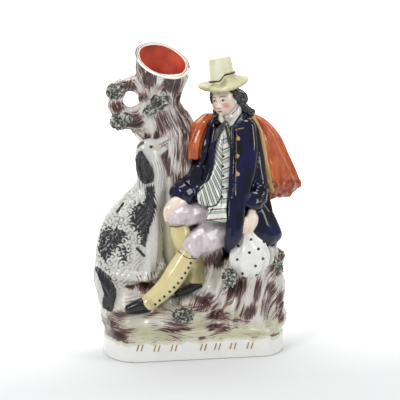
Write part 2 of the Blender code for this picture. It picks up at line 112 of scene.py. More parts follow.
def ease(low, high, value):
    """0 below low and 1 above high, eased between."""
    part = np.clip((value - low) / (high - low), 0, 1)
    return part * part * (3 - 2 * part)


def turns(count):
    """Even steps once round, in radians."""
    return np.linspace(0, 2 * math.pi, count, endpoint=False)


def grid(*parts):
    """Points whose coordinates are arrays that spread over one grid."""
    return np.stack(np.broadcast_arrays(*parts), -1)


def unit(vectors):
    """The vectors at length one."""
    return vectors / np.maximum(np.linalg.norm(vectors, axis=-1, keepdims=True), 1e-9)


def along(rows, count):
    """Rows read at even steps along a Catmull-Rom curve through them."""
    table = np.array(rows, float)
    padded = np.vstack([2 * table[0] - table[1], table, 2 * table[-1] - table[-2]])
    reach = np.linspace(0, len(table) - 1, count)
    first = np.minimum(reach.astype(int), len(table) - 2)
    part = (reach - first)[:, None]
    before, start, end, after = (padded[first + step] for step in range(4))
    return 0.5 * (2 * start + (end - before) * part
                  + (2 * before - 5 * start + 4 * end - after) * part ** 2
                  + (3 * start - before - 3 * end + after) * part ** 3)


def scatter(cells, seed):
    """One random number from 0 to 1 for each whole-number cell, the same on every run."""
    mixed = seed * SEED_FACTOR
    for axis, factor in enumerate(CELL_FACTORS):
        mixed = mixed ^ cells[..., axis] * factor
    for shift, factor in MIXING_ROUNDS:
        mixed = (mixed ^ (mixed >> shift)) * factor & RANDOM_TOP
    return mixed / RANDOM_TOP


def wander(points, size, seed):
    """Smooth random values from -1 to 1: hashed lattice values a size apart, blended by eased steps."""
    place = points / size
    cell = np.floor(place).astype(np.int64)
    part = place - cell
    part = part * part * (3 - 2 * part)
    total = np.zeros(len(points))
    for corner in np.ndindex(2, 2, 2):
        offset = np.array(corner)
        weight = np.prod(np.where(offset, part, 1 - part), axis=1)
        total += weight * scatter(cell + offset, seed)
    return 2 * total - 1


def nearest_seed(points, size, seed):
    """The way from the nearest of scattered middles, one in each cube of the given size."""
    place = points / size
    cell = np.floor(place).astype(np.int64)
    best = np.full(len(points), np.inf)
    away = np.zeros_like(points)
    for step in np.ndindex(3, 3, 3):
        near = cell + np.array(step) - 1
        middle = near + np.stack([scatter(near, seed + axis) for axis in range(3)], -1)
        way = place - middle
        distance = np.linalg.norm(way, axis=1)
        closer = distance < best
        best = np.where(closer, distance, best)
        away[closer] = way[closer]
    return away * size


# Skins: points and faces in millimetres

class Skin:
    """A closed surface: points, quads and triangles."""

    def __init__(self, points, quads, triangles):
        self.points, self.quads, self.triangles = points, quads, triangles

    def corners(self):
        """Every face as triangles."""
        halves = [self.triangles, self.quads[:, (0, 1, 2)], self.quads[:, (0, 2, 3)]]
        return np.vstack([half for half in halves if len(half)])

    def normals(self):
        """Each point's normal: the sum of its faces' normals, weighted by area."""
        faces = self.corners()
        first, second, third = (self.points[faces[:, k]] for k in range(3))
        across = np.cross(second - first, third - first)
        total = np.zeros_like(self.points)
        for axis in range(3):
            for k in range(3):
                total[:, axis] += np.bincount(faces[:, k], across[:, axis], len(self.points))
        return unit(total)

    def outward(self):
        """The skin with its faces turned outwards, told by the sign of its volume."""
        faces = self.corners()
        first, second, third = (self.points[faces[:, k]] for k in range(3))
        if np.einsum("ij,ij->i", first, np.cross(second, third)).sum() < 0:
            self.quads, self.triangles = self.quads[:, ::-1], self.triangles[:, ::-1]
        return self

    def push(self, amount):
        """The skin moved along its normals."""
        self.points = self.points + self.normals() * np.asarray(amount)[:, None]
        return self

    def mesh(self, name):
        """The skin as a new mesh, still in millimetres."""
        mesh = bpy.data.meshes.new(name)
        mesh.from_pydata(self.points.tolist(), [], self.quads.tolist() + self.triangles.tolist())
        return mesh


def ring_skin(rings):
    """A skin from rings of points, closed at each end by a fan to the end ring's middle."""
    count, sides = rings.shape[:2]
    points = np.vstack([rings.reshape(-1, 3), rings[0].mean(axis=0), rings[-1].mean(axis=0)])
    ring, side = np.indices((count - 1, sides))
    corner, beside = ring * sides + side, ring * sides + (side + 1) % sides
    quads = grid(corner, beside, beside + sides, corner + sides).reshape(-1, 4)
    spoke, middle, tail = np.arange(sides), count * sides, (count - 1) * sides
    beyond = (spoke + 1) % sides
    fans = np.vstack([grid(spoke, middle, beyond), grid(tail + spoke, tail + beyond, middle + 1)])
    return Skin(points, quads, fans).outward()


def round_skin(rings):
    """A skin from rings of points carried round until the last meets the first."""
    count, sides = rings.shape[:2]
    ring, side = np.indices((count, sides))
    here, beyond, beside = ring * sides, (ring + 1) % count * sides, (side + 1) % sides
    quads = grid(here + side, beyond + side, beyond + beside, here + beside)
    return Skin(rings.reshape(-1, 3), quads.reshape(-1, 4), np.zeros((0, 3), int)).outward()


def spread(values, shape, ends=()):
    """Values over a grid of rings as one row, with those of the two end middles after them."""
    return np.append(np.broadcast_to(values, shape).ravel(), ends)


def limb(rows, relief=None, squareness=1.0, roundness=1.0, level_cuts=False, sides=72, fine=14):
    """A rounded form along a smooth line: each cross-section is an ellipse or a softened box, whose
    depth lies as near to Y as the line allows, and both ends close in a dome. With level cuts the
    cross-sections stay level. Relief is a function of the turn and the level, in millimetres."""
    table = along(rows, (len(rows) - 1) * fine + 1)
    centre, widths = table[:, :3], table[:, 3:]
    heading = unit(np.gradient(centre, axis=0))
    if level_cuts:
        heading = np.sign(heading[:, 2:]) * np.array([[0.0, 0.0, 1.0]])
    depth_way = unit(np.array([0.0, 1.0, 0.0]) - heading * heading[:, 1:2])
    width_way = np.cross(depth_way, heading)
    dome = max(5, fine)
    bend = np.linspace(0, math.pi / 2, dome, endpoint=False)[1:]
    before = centre[0] - heading[0] * np.outer(np.cos(bend) * roundness, widths[0].min())
    after = centre[-1] + heading[-1] * np.outer(np.cos(bend)[::-1] * roundness, widths[-1].min())
    centre = np.vstack([before, centre, after])
    shrink = np.concatenate([np.sin(bend), np.ones(len(table)), np.sin(bend)[::-1]])[:, None]
    widths, width_way, depth_way = (np.pad(part, ((len(bend), len(bend)), (0, 0)), mode="edge")
                                    for part in (widths, width_way, depth_way))
    turn = turns(sides)[None, :]
    level = np.linspace(0, 1, len(centre))[:, None]
    lift = relief(turn, level) * shrink if relief else np.zeros((len(centre), sides))
    across = np.sign(np.cos(turn)) * np.abs(np.cos(turn)) ** squareness
    deep = np.sign(np.sin(turn)) * np.abs(np.sin(turn)) ** squareness
    rings = (centre[:, None]
             + width_way[:, None] * ((widths[:, :1] * shrink + lift) * across)[..., None]
             + depth_way[:, None] * ((widths[:, 1:] * shrink + lift) * deep)[..., None])
    return ring_skin(rings)


def lump(centre, radii, tilt=0.0, relief=None, sides=72, rings=40):
    """An ellipsoid turned about Y, with relief added outwards."""
    polar = np.linspace(0.03, math.pi - 0.03, rings)[:, None]
    turn = turns(sides)[None, :]
    lift = relief(turn, polar / math.pi) * np.sin(polar) if relief else 0 * turn * polar
    grow = 1 + lift / min(radii)
    local = grid(radii[0] * np.sin(polar) * np.cos(turn) * grow,
                 radii[1] * np.sin(polar) * np.sin(turn) * grow, radii[2] * np.cos(polar) * grow)
    turned = local @ np.array(Euler((0, -tilt, 0)).to_matrix()).T
    return ring_skin(turned + np.array(centre, float))


def folds(count, depth, lean=0.0, shift=0.0):
    """Long folds: a cosine round the form, drawn sideways along it by the lean."""
    return lambda turn, level: depth * np.cos(count * turn + lean * level + shift)


def locks(across, lengthwise, depth):
    """Locks of fur or curls: two slanting waves that cross."""
    def relief(turn, level):
        one, other = across * turn + lengthwise * level, (across + 1) * turn - 0.8 * lengthwise * level
        return depth / 2 * (np.sin(one) + np.sin(other + 1.0))
    return relief


def creases(count, depth, bow=1.0, sharpness=3.0):
    """Cloth bunched crosswise: narrow ridges that run round the form, bowed by the turn."""
    def relief(turn, level):
        swing = 2 * math.pi * count * level + bow * np.sin(turn) + 0.7 * np.sin(2 * turn)
        return depth * ((0.5 + 0.5 * np.cos(swing)) ** sharpness - 0.3)
    return relief


def both(*reliefs):
    """The sum of several reliefs."""
    return lambda turn, level: sum(relief(turn, level) for relief in reliefs)


def joined(skins):
    """Several skins as one, still separate surfaces."""
    starts = np.cumsum([0] + [len(skin.points) for skin in skins[:-1]])
    return Skin(np.vstack([skin.points for skin in skins]),
                np.vstack([skin.quads + start for skin, start in zip(skins, starts)]),
                np.vstack([skin.triangles + start for skin, start in zip(skins, starts)]))


def added(name, data):
    """A new object in the scene."""
    thing = bpy.data.objects.new(name, data)
    bpy.context.scene.collection.objects.link(thing)
    return thing


def discard(thing):
    """Removes a working object and its mesh."""
    mesh = thing.data
    bpy.data.objects.remove(thing)
    bpy.data.meshes.remove(mesh)


def values_of(members, title, width=1, kind=np.int64):
    """One property of all members of a mesh's list, as an array."""
    values = np.empty(len(members) * width, kind)
    members.foreach_get(title, values)
    return values


def read_back(thing):
    """An object's mesh, modifiers worked in, as a skin; its faces are quads and triangles."""
    bpy.context.view_layer.update()
    mesh = thing.evaluated_get(bpy.context.evaluated_depsgraph_get()).to_mesh()
    points = values_of(mesh.vertices, "co", 3, float)
    sizes, starts = values_of(mesh.polygons, "loop_total"), values_of(mesh.polygons, "loop_start")
    loops = values_of(mesh.loops, "vertex_index")
    if np.all((sizes == 3) | (sizes == 4)):
        quads = loops[starts[sizes == 4][:, None] + np.arange(4)]
        triangles = loops[starts[sizes == 3][:, None] + np.arange(3)]
    else:
        mesh.calc_loop_triangles()
        quads = np.zeros((0, 4), np.int64)
        triangles = values_of(mesh.loop_triangles, "vertices", 3, np.int32)
        triangles = triangles.reshape(-1, 3).astype(np.int64)
    return Skin(points.reshape(-1, 3), quads, triangles)


def through_modifiers(skin, *makers):
    """The skin after modifiers, each set up by a function that gets the object."""
    thing = added("working_form", skin.mesh("working_form"))
    for maker in makers:
        maker(thing)
    made = read_back(thing)
    discard(thing)
    return made


def fuse(skins, step, soften=2):
    """Forms grown into one skin: a voxel remesh at the given step, then softened."""
    def remesh(thing):
        modifier = thing.modifiers.new("one_skin", "REMESH")
        modifier.mode = "VOXEL"
        modifier.voxel_size = step

    def smooth(thing):
        modifier = thing.modifiers.new("soften", "SMOOTH")
        modifier.factor = 0.5
        modifier.iterations = soften
    return through_modifiers(joined(skins), remesh, smooth)


def cut_away(skin, cutters):
    """The skin less some closed cutters."""
    guides = [added(f"cutter_{number}", cutter.mesh("cutter")) for number, cutter in enumerate(cutters)]

    def cut(thing):
        for guide in guides:
            modifier = thing.modifiers.new("cut", "BOOLEAN")
            modifier.operation = "DIFFERENCE"
            modifier.solver = "EXACT"
            modifier.object = guide
    made = through_modifiers(skin, cut)
    for guide in guides:
        discard(guide)
    return made


def piece(name, skin, glaze_name, paint=None):
    """A finished piece: kept inside the part's box, in metres, with its paint values and glaze."""
    glaze = GLAZES[glaze_name]
    low, high = (np.array(corner) / MM for corner in CAD_BOX)
    skin.points = np.clip(skin.points, low + BOX_MARGIN, high - BOX_MARGIN)
    unset = {title: np.full(len(skin.points), value) for title, value in glaze.reads.items()}
    values = unset | (paint or {})
    mesh = skin.mesh(name)
    mesh.vertices.foreach_set("co", (skin.points * MM).ravel())
    mesh.update()
    mesh.shade_smooth()
    for title, value in values.items():
        value = np.asarray(value, np.float32)
        kind, slot = ("FLOAT_VECTOR", "vector") if value.ndim == 2 else ("FLOAT", "value")
        mesh.attributes.new(title, kind, "POINT").data.foreach_set(slot, value.ravel())
    mesh.materials.append(glaze.material)
    thing = added(name, mesh)
    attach(thing, BODY)
    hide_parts(NODE)


# Brush marks in the front view

def to_line(place, line):
    """Distance to a broken line."""
    best = np.full(len(place), np.inf)
    for start, end in zip(np.array(line[:-1], float), np.array(line[1:], float)):
        way = end - start
        part = np.clip(((place - start) @ way) / (way @ way), 0, 1)
        best = np.minimum(best, np.linalg.norm(place - start - part[:, None] * way, axis=1))
    return best


def to_patch(place, outline):
    """Distance to a closed outline, below zero inside."""
    corners = np.array(outline, float)
    inside = np.zeros(len(place), bool)
    for start, end in zip(corners, np.roll(corners, -1, axis=0)):
        if start[1] == end[1]:
            continue
        crosses = (start[1] > place[:, 1]) != (end[1] > place[:, 1])
        meets = start[0] + (end[0] - start[0]) * (place[:, 1] - start[1]) / (end[1] - start[1])
        inside ^= crosses & (place[:, 0] < meets)
    edge = to_line(place, [*outline, outline[0]])
    return np.where(inside, -edge, edge)


def dashes(place, width, *lines):
    """The nearest of several brush lines, each as wide as twice the width."""
    return np.min([to_line(place, line) for line in lines], axis=0) - width


def dots(place, radius, *middles):
    """The nearest of several round dots."""
    away = [np.linalg.norm(place - np.array(middle), axis=1) for middle in middles]
    return np.min(away, axis=0) - radius


def dabs(place, *rows):
    """The strongest of soft dabs (right, down, half width, half height, lean in degrees, strength)."""
    strongest = np.zeros(len(place))
    for right, down, wide, high, lean, strength in rows:
        angle = math.radians(lean)
        way = place - np.array([right, down])
        across = (way[:, 0] * math.cos(angle) + way[:, 1] * math.sin(angle)) / wide
        down_it = (way[:, 1] * math.cos(angle) - way[:, 0] * math.sin(angle)) / high
        strongest = np.maximum(strongest, strength * np.exp(-0.7 * (across ** 2 + down_it ** 2) ** 1.6))
    return strongest


def in_view(skin):
    """Where a skin's points show in the front view, and 1 where they face it, 0 behind."""
    return seen(skin.points), ease(-0.05, 0.25, skin.normals() @ VIEW_BACK)


# Shader sockets with arithmetic

class Wire:
    """One output socket; arithmetic on wires, also with a number first, adds Math nodes."""

    def __init__(self, glaze, socket):
        self.glaze, self.socket = glaze, socket

    def math(self, operation, *values, clamp=False):
        """A Math node on this wire and the other values."""
        return self.glaze.node("ShaderNodeMath", {"operation": operation, "use_clamp": clamp},
                               dict(enumerate((self, *values))))

    def __add__(self, other):
        return self.math("ADD", other)

    __radd__ = __add__

    def __sub__(self, other):
        return self.math("SUBTRACT", other)

    def __rsub__(self, other):
        return self.glaze.node("ShaderNodeMath", {"operation": "SUBTRACT"}, {0: other, 1: self})

    def __mul__(self, other):
        return self.math("MULTIPLY", other)

    __rmul__ = __mul__

    def __neg__(self):
        return self.math("MULTIPLY", -1.0)

    def clamped(self):
        """The value held between 0 and 1."""
        return self.math("ADD", 0.0, clamp=True)

    def inside(self, softness):
        """1 where a distance is below zero, faded over the softness."""
        return self.math("MULTIPLY_ADD", -1.0 / softness, 0.5, clamp=True)

    def step(self, low, high):
        """0 below low, 1 above high, straight between."""
        return self.math("MULTIPLY_ADD", 1.0 / (high - low), -low / (high - low), clamp=True)


class Glaze:
    """One procedural material: paint under a clear glossy glaze."""

    def __init__(self, name):
        self.material = bpy.data.materials.new(name)
        self.material.use_nodes = True
        self.tree = self.material.node_tree
        self.tree.nodes.clear()
        self.reads = {}

    def node(self, kind, settings, inputs, output=0):
        """A node of a type, with its settings set first and then its sockets' values or links."""
        node = self.tree.nodes.new(kind)
        for title, value in settings.items():
            setattr(node, title, value)
        for key, value in inputs.items():
            if isinstance(value, Wire):
                self.tree.links.new(value.socket, node.inputs[key])
            else:
                node.inputs[key].default_value = value
        return Wire(self, node.outputs[output])

    def value(self, title, unset=0.0):
        """A piece's paint value, which is unset where the piece gives none."""
        self.reads[title] = unset
        return self.node("ShaderNodeAttribute", {"attribute_name": title}, {}, "Fac")

    def mark(self, title):
        """A brush mark: the distance to its edge, far off where the piece gives none."""
        return self.value(title, FAR_FROM_MARK)

    def vector(self, title):
        """A piece's paint value that has three parts."""
        return self.node("ShaderNodeAttribute", {"attribute_name": title}, {}, "Vector")

    def place(self):
        """Where a point lies on the object, in metres."""
        return self.node("ShaderNodeTexCoord", {}, {}, "Object")

    def stretched(self, vector, factors):
        """A vector with each of its parts multiplied."""
        return self.node("ShaderNodeVectorMath", {"operation": "MULTIPLY"}, {0: vector, 1: factors})

    def noise(self, vector, scale, detail, rough=0.55, distortion=0.0):
        """Smooth noise between 0 and 1."""
        return self.node("ShaderNodeTexNoise", {}, {"Vector": vector, "Scale": scale, "Detail": detail,
                                                    "Roughness": rough, "Distortion": distortion}, "Fac")

    def mix(self, factor, first, second):
        """Two colours, or a colour and a wire, mixed by a factor."""
        return self.node("ShaderNodeMix", {"data_type": "RGBA"}, {0: factor, 6: first, 7: second}, 2)

    def over(self, colour, factor, *screen_colour):
        """A colour with another, given in screen values, laid over it by a factor."""
        return self.mix(factor, colour, tone(*screen_colour))

    def line(self, title, fine, shake, softness):
        """1 inside a brush mark whose edge fine noise shakes, faded over the softness."""
        return (self.mark(title) + (fine - 0.5) * shake).inside(softness)

    def finish(self, colour, roughness=0.14, coat=0.55, height=None, depth=0.00015):
        """The glossy glaze over a colour, slightly uneven, with finer relief from a height."""
        place = self.place()
        uneven = self.noise(place, 90.0, 2.0) * 0.8
        height = uneven if height is None else uneven + height
        bump = self.node("ShaderNodeBump", {}, {"Strength": 0.6, "Distance": depth, "Height": height})
        shader = self.node("ShaderNodeBsdfPrincipled", {}, {
            "Base Color": colour, "Roughness": roughness, "IOR": 1.5,
            "Coat Weight": coat, "Coat Roughness": 0.06, "Coat IOR": 1.55, "Normal": bump})
        out = self.tree.nodes.new("ShaderNodeOutputMaterial")
        self.tree.links.new(shader.socket, out.inputs["Surface"])
        return self


def tone(red, green, blue):
    """A colour given as screen values from 0 to 255, as linear light."""
    def linear(value):
        share = value / 255
        return share / 12.92 if share <= 0.04045 else ((share + 0.055) / 1.055) ** 2.4
    return (linear(red), linear(green), linear(blue), 1.0)


WHITE = tone(226, 225, 219)
WARM_WHITE = tone(224, 216, 206)


def bark_glaze():
    """White glaze with maroon brushed over it and combed through along the grain, green washes in the
    low places and the orange lining of the bore."""
    glaze = Glaze("bark_and_rock_glaze")
    steep, level, lying = glaze.vector("grain"), glaze.vector("level_grain"), glaze.value("lying")

    def combed_noise(across, lengthwise, rough, distortion):
        """Noise drawn out along both grains, faded from one to the other."""
        drawn = (across, lengthwise, 0.0)
        runs = [glaze.noise(glaze.stretched(grain, drawn), 1.0, 3.0, rough, distortion)
                for grain in (steep, level)]
        return runs[0] + (runs[1] - runs[0]) * lying

    scratch = combed_noise(1.2, 0.05, 0.62, 0.15)
    stroke = combed_noise(0.3, 0.03, 0.6, 0.4)
    place = glaze.place()
    patch = glaze.noise(place, 75.0, 4.0, 0.6)
    wash = glaze.value("wash")
    relief = glaze.value("relief")
    load = (wash * 1.15 - (relief - 0.3) * 0.8 + (scratch - 0.5) * 4.0 + (stroke - 0.5) * 1.5
            + (patch - 0.5) * 0.8 - 0.16)
    ground = glaze.mix(patch.step(0.35, 0.7), WHITE, WARM_WHITE)
    ground = glaze.over(ground, (glaze.value("green") * (0.55 + patch * 0.9)).clamped(), 202, 205, 166)
    ground = glaze.over(ground, (glaze.value("olive") * (0.4 + patch)).clamped(), 196, 186, 144)
    colour = glaze.over(ground, load.step(0.05, 0.3), 196, 184, 172)
    colour = glaze.over(colour, load.step(0.28, 0.52), 142, 114, 108)
    colour = glaze.over(colour, load.step(0.5, 0.78), 98, 62, 58)
    colour = glaze.over(colour, load.step(0.9, 1.3), 54, 34, 35)
    ink = glaze.line("ink", scratch, 2.4, 0.9)
    colour = glaze.over(colour, ink, 38, 26, 28)
    lined = glaze.mark("lining").inside(0.5)
    mottle = glaze.noise(place, 45.0, 3.0, 0.5)
    orange = glaze.mix(mottle.step(0.35, 0.65), tone(204, 68, 24), tone(142, 40, 16))
    colour = glaze.mix(lined, colour, orange)
    colour = glaze.mix(glaze.mark("lip").inside(0.6), colour, WHITE)
    colour = glaze.over(colour, glaze.mark("lip_line").inside(0.6), 176, 96, 60)
    return glaze.finish(colour, 0.17 + 0.5 * lined, 0.5 - 0.5 * lined, scratch * 0.8, 0.0003)


def moss_glaze():
    """Shredded clay: painted shade in its pits and a pale green grey painted highlight on its tips."""
    glaze = Glaze("moss_glaze")
    place = glaze.place()
    speck = glaze.noise(place, 520.0, 3.0, 0.7)
    patch = glaze.noise(place, 150.0, 3.0, 0.6)
    # Painted shade in the pits and a painted highlight on the tips, both following the relief
    tip = (glaze.value("relief") * 0.4 + (speck - 0.5) * 3.6 + (patch - 0.5) * 2.0 + 0.46).clamped()
    colour = glaze.mix(tip.step(0.02, 0.5), tone(34, 35, 33), tone(116, 118, 104))
    colour = glaze.over(colour, tip.step(0.45, 0.9), 206, 207, 196)
    return glaze.finish(colour, 0.3, 0.3, speck * 2.0, 0.0004)


def dog_glaze():
    """White fur with black patches that break up over the curls; painted shade greys its hollows."""
    glaze = Glaze("dog_glaze")
    place = glaze.place()
    patch = glaze.noise(place, 160.0, 3.0, 0.6)
    fine = glaze.noise(place, 420.0, 2.0, 0.6)
    relief = glaze.value("relief")
    # Painted shade: the white turns grey where the fur's relief is low, in its hollows
    ground = glaze.mix((patch.step(0.3, 0.75) - relief * 0.3).clamped(), tone(224, 224, 218),
                       tone(208, 207, 200))
    ground = glaze.over(ground, (-relief - 0.1 + (fine - 0.5) * 0.9).step(0.0, 0.6) * 0.85, 112, 110, 103)
    black = glaze.mark("black") * 1.7 - 0.9 + relief * 4.6 + (fine - 0.5) * 5.0 + (patch - 0.5) * 4.0
    colour = glaze.over(ground, black.inside(4.0), 112, 112, 112)
    colour = glaze.over(colour, (black + 0.6).inside(2.0), 36, 36, 40)
    colour = glaze.over(colour, glaze.line("grey", fine, 1.0, 0.8), 98, 102, 94)
    colour = glaze.over(colour, glaze.value("blush").clamped() * 0.6, 226, 186, 172)
    colour = glaze.over(colour, glaze.line("ink", fine, 0.6, 0.5), 34, 34, 34)
    return glaze.finish(colour, 0.15, 0.5, fine * 0.5, 0.0002)


def painted(name, light, dark, scale, stretch=(1.0, 1.0, 0.25), contrast=1.0, roughness=0.14, coat=0.5,
            line_colour=None, shade_colour=None):
    """One brushed colour: it runs from light to dark in streaks down the piece, and may have painted
    shade, as strong as the paint value wash, and painted lines kept as the mark ink."""
    glaze = Glaze(name + "_glaze")
    place = glaze.stretched(glaze.place(), stretch)
    streak = glaze.noise(place, scale, 4.0, 0.6, 0.3)
    colour = glaze.mix(((streak - 0.5) * contrast * 2.4 + 0.5).clamped(), tone(*light), tone(*dark))
    # Painted shade, as strong as the wash value: the hat's darker brim and the gaiters' olive shade
    # between the legs
    if shade_colour:
        colour = glaze.over(colour, (glaze.value("wash") * (0.4 + streak * 1.2)).clamped(), *shade_colour)
    if line_colour:
        fine = glaze.noise(glaze.place(), 500.0, 2.0)
        colour = glaze.over(colour, glaze.line("ink", fine, 0.5, 0.5), *line_colour)
    return glaze.finish(colour, roughness, coat, streak * 0.3)


def cobalt_glaze():
    """Deep cobalt, nearly black where it lies thick and blue where it runs thin, with gold lines."""
    glaze = Glaze("cobalt_glaze")
    place = glaze.stretched(glaze.place(), (1.0, 1.0, 0.3))
    streak = glaze.noise(place, 120.0, 4.0, 0.6, 0.3)
    relief = glaze.value("relief")
    thin = ((streak - 0.5) * 2.0 + relief * 0.25 + 0.22).clamped()
    colour = glaze.mix(thin, tone(4, 4, 12), tone(20, 20, 88))
    fine = glaze.noise(glaze.place(), 600.0, 2.0)
    colour = glaze.over(colour, glaze.line("gold", fine, 0.7, 0.6), 192, 168, 112)
    return glaze.finish(colour, 0.12, 0.15, streak * 0.3)


def waistcoat_glaze():
    """White with slanting stripes on one side and level ones on the other, parted by a dark seam with
    buttons. Each stripe is a band of the fraction of a count kept in the paint values."""
    glaze = Glaze("waistcoat_glaze")
    fine = glaze.noise(glaze.place(), 380.0, 2.0)
    wobble = (fine - 0.5) * 0.14
    seam_side = glaze.mark("right_half").inside(0.3)
    slant = (glaze.value("slant") + wobble).math("FRACT")
    level = (glaze.value("level") + wobble).math("FRACT")
    low_red = glaze.value("low")

    def band(share, middle, half, fade):
        """1 within half a band's width of its middle, in shares of the spacing."""
        return (share - middle).math("ABSOLUTE").math("MULTIPLY_ADD", -1.0, half).step(0.0, fade)

    slant_line, slant_green = band(slant, 0.14, 0.12, 0.05), band(slant, 0.5, 0.2, 0.08)
    level_line, level_green = band(level, 0.1, 0.08, 0.03), band(level, 0.4, 0.2, 0.08)
    cloth = tone(230, 230, 223)
    green, line_colour = tone(116, 148, 130), tone(58, 50, 48)
    grey_green = glaze.mix(low_red, tone(138, 142, 134), green)
    left = glaze.mix(slant_green, cloth, grey_green)
    left = glaze.mix(slant_line, left, glaze.mix(low_red * 0.8, line_colour, tone(112, 48, 48)))
    other = glaze.mix(level_green * (0.4 + fine), cloth, tone(150, 178, 162))
    other = glaze.mix(level_line, other, tone(112, 62, 60))
    colour = glaze.mix(seam_side, left, other)
    colour = glaze.over(colour, glaze.line("ink", fine, 0.8, 0.5), 36, 34, 36)
    return glaze.finish(colour, 0.16, 0.45)


def cape_glaze():
    """Orange brushed in long strokes over the folds, browner along the hem, with an ochre lining edge."""
    glaze = Glaze("cape_glaze")
    streak = glaze.noise(glaze.stretched(glaze.place(), (1.0, 1.0, 0.18)), 150.0, 4.0, 0.62, 0.3)
    patch = glaze.noise(glaze.place(), 60.0, 3.0)
    fine = glaze.noise(glaze.place(), 340.0, 3.0, 0.6, 0.6)
    relief = glaze.value("relief")
    # Painted shade: the orange, and the hem's brown, grow darker where the relief is low, in the hollows
    # of the curls
    colour = glaze.mix(((streak - 0.5) * 2.6 + (patch - 0.5) * 1.6 + 0.45 - relief * 0.3).clamped(),
                       tone(214, 116, 62), tone(168, 62, 32))
    brown = (glaze.mark("hem").inside(5.0) * (0.65 + (fine - 0.5) * 2.6 - relief * 0.4)).clamped()
    colour = glaze.over(colour, brown, 140, 54, 24)
    colour = glaze.over(colour, glaze.line("lining_edge", fine, 1.2, 0.8), 218, 184, 118)
    return glaze.finish(colour, 0.17, 0.35, streak * 0.5)


def face_glaze():
    """Pale flesh with a soft blush on the cheeks; eyes, brows and lips are fine brush lines."""
    glaze = Glaze("face_glaze")
    fine = glaze.noise(glaze.place(), 700.0, 2.0)
    patch = glaze.noise(glaze.place(), 200.0, 2.0)
    colour = glaze.mix(patch, tone(248, 234, 220), tone(242, 222, 204))
    colour = glaze.over(colour, (glaze.value("blush") * (0.6 + patch * 0.6)).clamped(), 214, 122, 78)
    colour = glaze.over(colour, glaze.mark("eye_white").inside(0.3), 232, 232, 228)
    colour = glaze.over(colour, glaze.line("lips", fine, 0.3, 0.35), 188, 112, 92)
    colour = glaze.over(colour, glaze.line("ink", fine, 0.15, 0.2), 30, 26, 28)
    return glaze.finish(colour, 0.14, 0.5)


def spotted_glaze():
    """White linen with a hint of grey in soft random patches, and dark spots."""
    glaze = Glaze("kerchief_glaze")
    fine = glaze.noise(glaze.place(), 420.0, 2.0)
    patch = glaze.noise(glaze.place(), 110.0, 3.0)
    relief = glaze.value("relief")
    colour = glaze.mix((patch.step(0.35, 0.7) - relief * 0.4).clamped(), tone(250, 250, 247),
                       tone(236, 235, 230))
    colour = glaze.over(colour, glaze.line("ink", fine, 0.6, 0.5), 28, 27, 32)
    return glaze.finish(colour, 0.13, 0.55)


def base_glaze():
    """Plain white glaze on the plinth; wash and maroon run over its upper edge."""
    glaze = Glaze("base_glaze")
    place = glaze.place()
    patch = glaze.noise(place, 60.0, 4.0)
    fine = glaze.noise(place, 300.0, 3.0)
    colour = glaze.mix(patch.step(0.3, 0.75), tone(246, 246, 242), tone(238, 238, 234))
    colour = glaze.over(colour, glaze.line("green", fine, 3.0, 2.5) * 0.8, 206, 206, 168)
    colour = glaze.over(colour, glaze.line("wash", fine, 3.0, 1.2), 116, 78, 74)
    colour = glaze.over(colour, glaze.line("foot", fine, 0.7, 0.5), 190, 184, 172)
    return glaze.finish(colour, 0.12, 0.6)


# Tree trunk with the spill cup

LIP_WAY = np.array(Euler((LIP_TILT_BACK, LIP_TILT_SIDE, 0)).to_matrix() @ Vector((0, 0, 1)))
LOOP_MIDDLE = np.array([-64.6, 4.0, 267.0])
BORE_RADIUS = CUP_RADIUS - CUP_WALL
FORK = (152.0, 106.0)


def trunk_rows():
    """The trunk from the cup to the ground; under the cup its widths are shares of the cup's."""
    neck = [(x, y, z, share * CUP_RADIUS, share * CUP_RADIUS) for x, y, z, share in (
        (-31.5, 5, 301, 0.93), (-32.2, 6, 288, 0.82), (-33.6, 6.5, 276, 0.755), (-35.0, 7, 264, 0.72))]
    return neck + [(-32, 8, 249, 23.5, 22), (-26, 9, 232, 28, 24), (-25, 10, 200, 30, 25),
                   (-25, 11, 150, 32, 25), (-24, 12, 100, 38, 26), (-22, 12, 56, 44, 28),
                   (-22, 12, 30, 46, 30)]


def stacked(circles, sides=96):
    """A round form from rows (x, y, z, radius)."""
    table = np.array(circles, float)[:, None, :]
    turn = turns(sides)
    return ring_skin(grid(table[..., 0] + table[..., 3] * np.cos(turn),
                          table[..., 1] + table[..., 3] * np.sin(turn), table[..., 2]))


def bore_circles():
    """The bore's rows: straight at the mouth, following the trunk, with a rounded floor."""
    x, y, lip = LIP
    circles = [(x, y, lip + 1.6 * CUP_RADIUS, BORE_RADIUS), (x, y, lip - 0.45 * CUP_RADIUS, BORE_RADIUS)]
    circles += [(row[0], row[1], row[2], row[3] - 1.5 - CUP_WALL) for row in trunk_rows()[1:4]]
    floor = lip - BORE_DEPTH + BORE_FLOOR
    return circles + [(x - 1, y + 1, floor - BORE_FLOOR * math.sin(math.radians(bend)),
                       BORE_FLOOR * math.cos(math.radians(bend))) for bend in (0, 30, 60)]


def above_lip():
    """A block that holds everything above the slanting lip."""
    side = 6 * CUP_RADIUS
    corners = np.array([[-1, -1], [1, -1], [1, 1], [-1, 1]]) * 0.3 * side
    turn = np.array(Euler((LIP_TILT_BACK, LIP_TILT_SIDE, 0)).to_matrix())
    local = np.array([at_height(corners, height) for height in (0.0, side / 2, side)])
    return ring_skin(local @ turn.T + LIP)


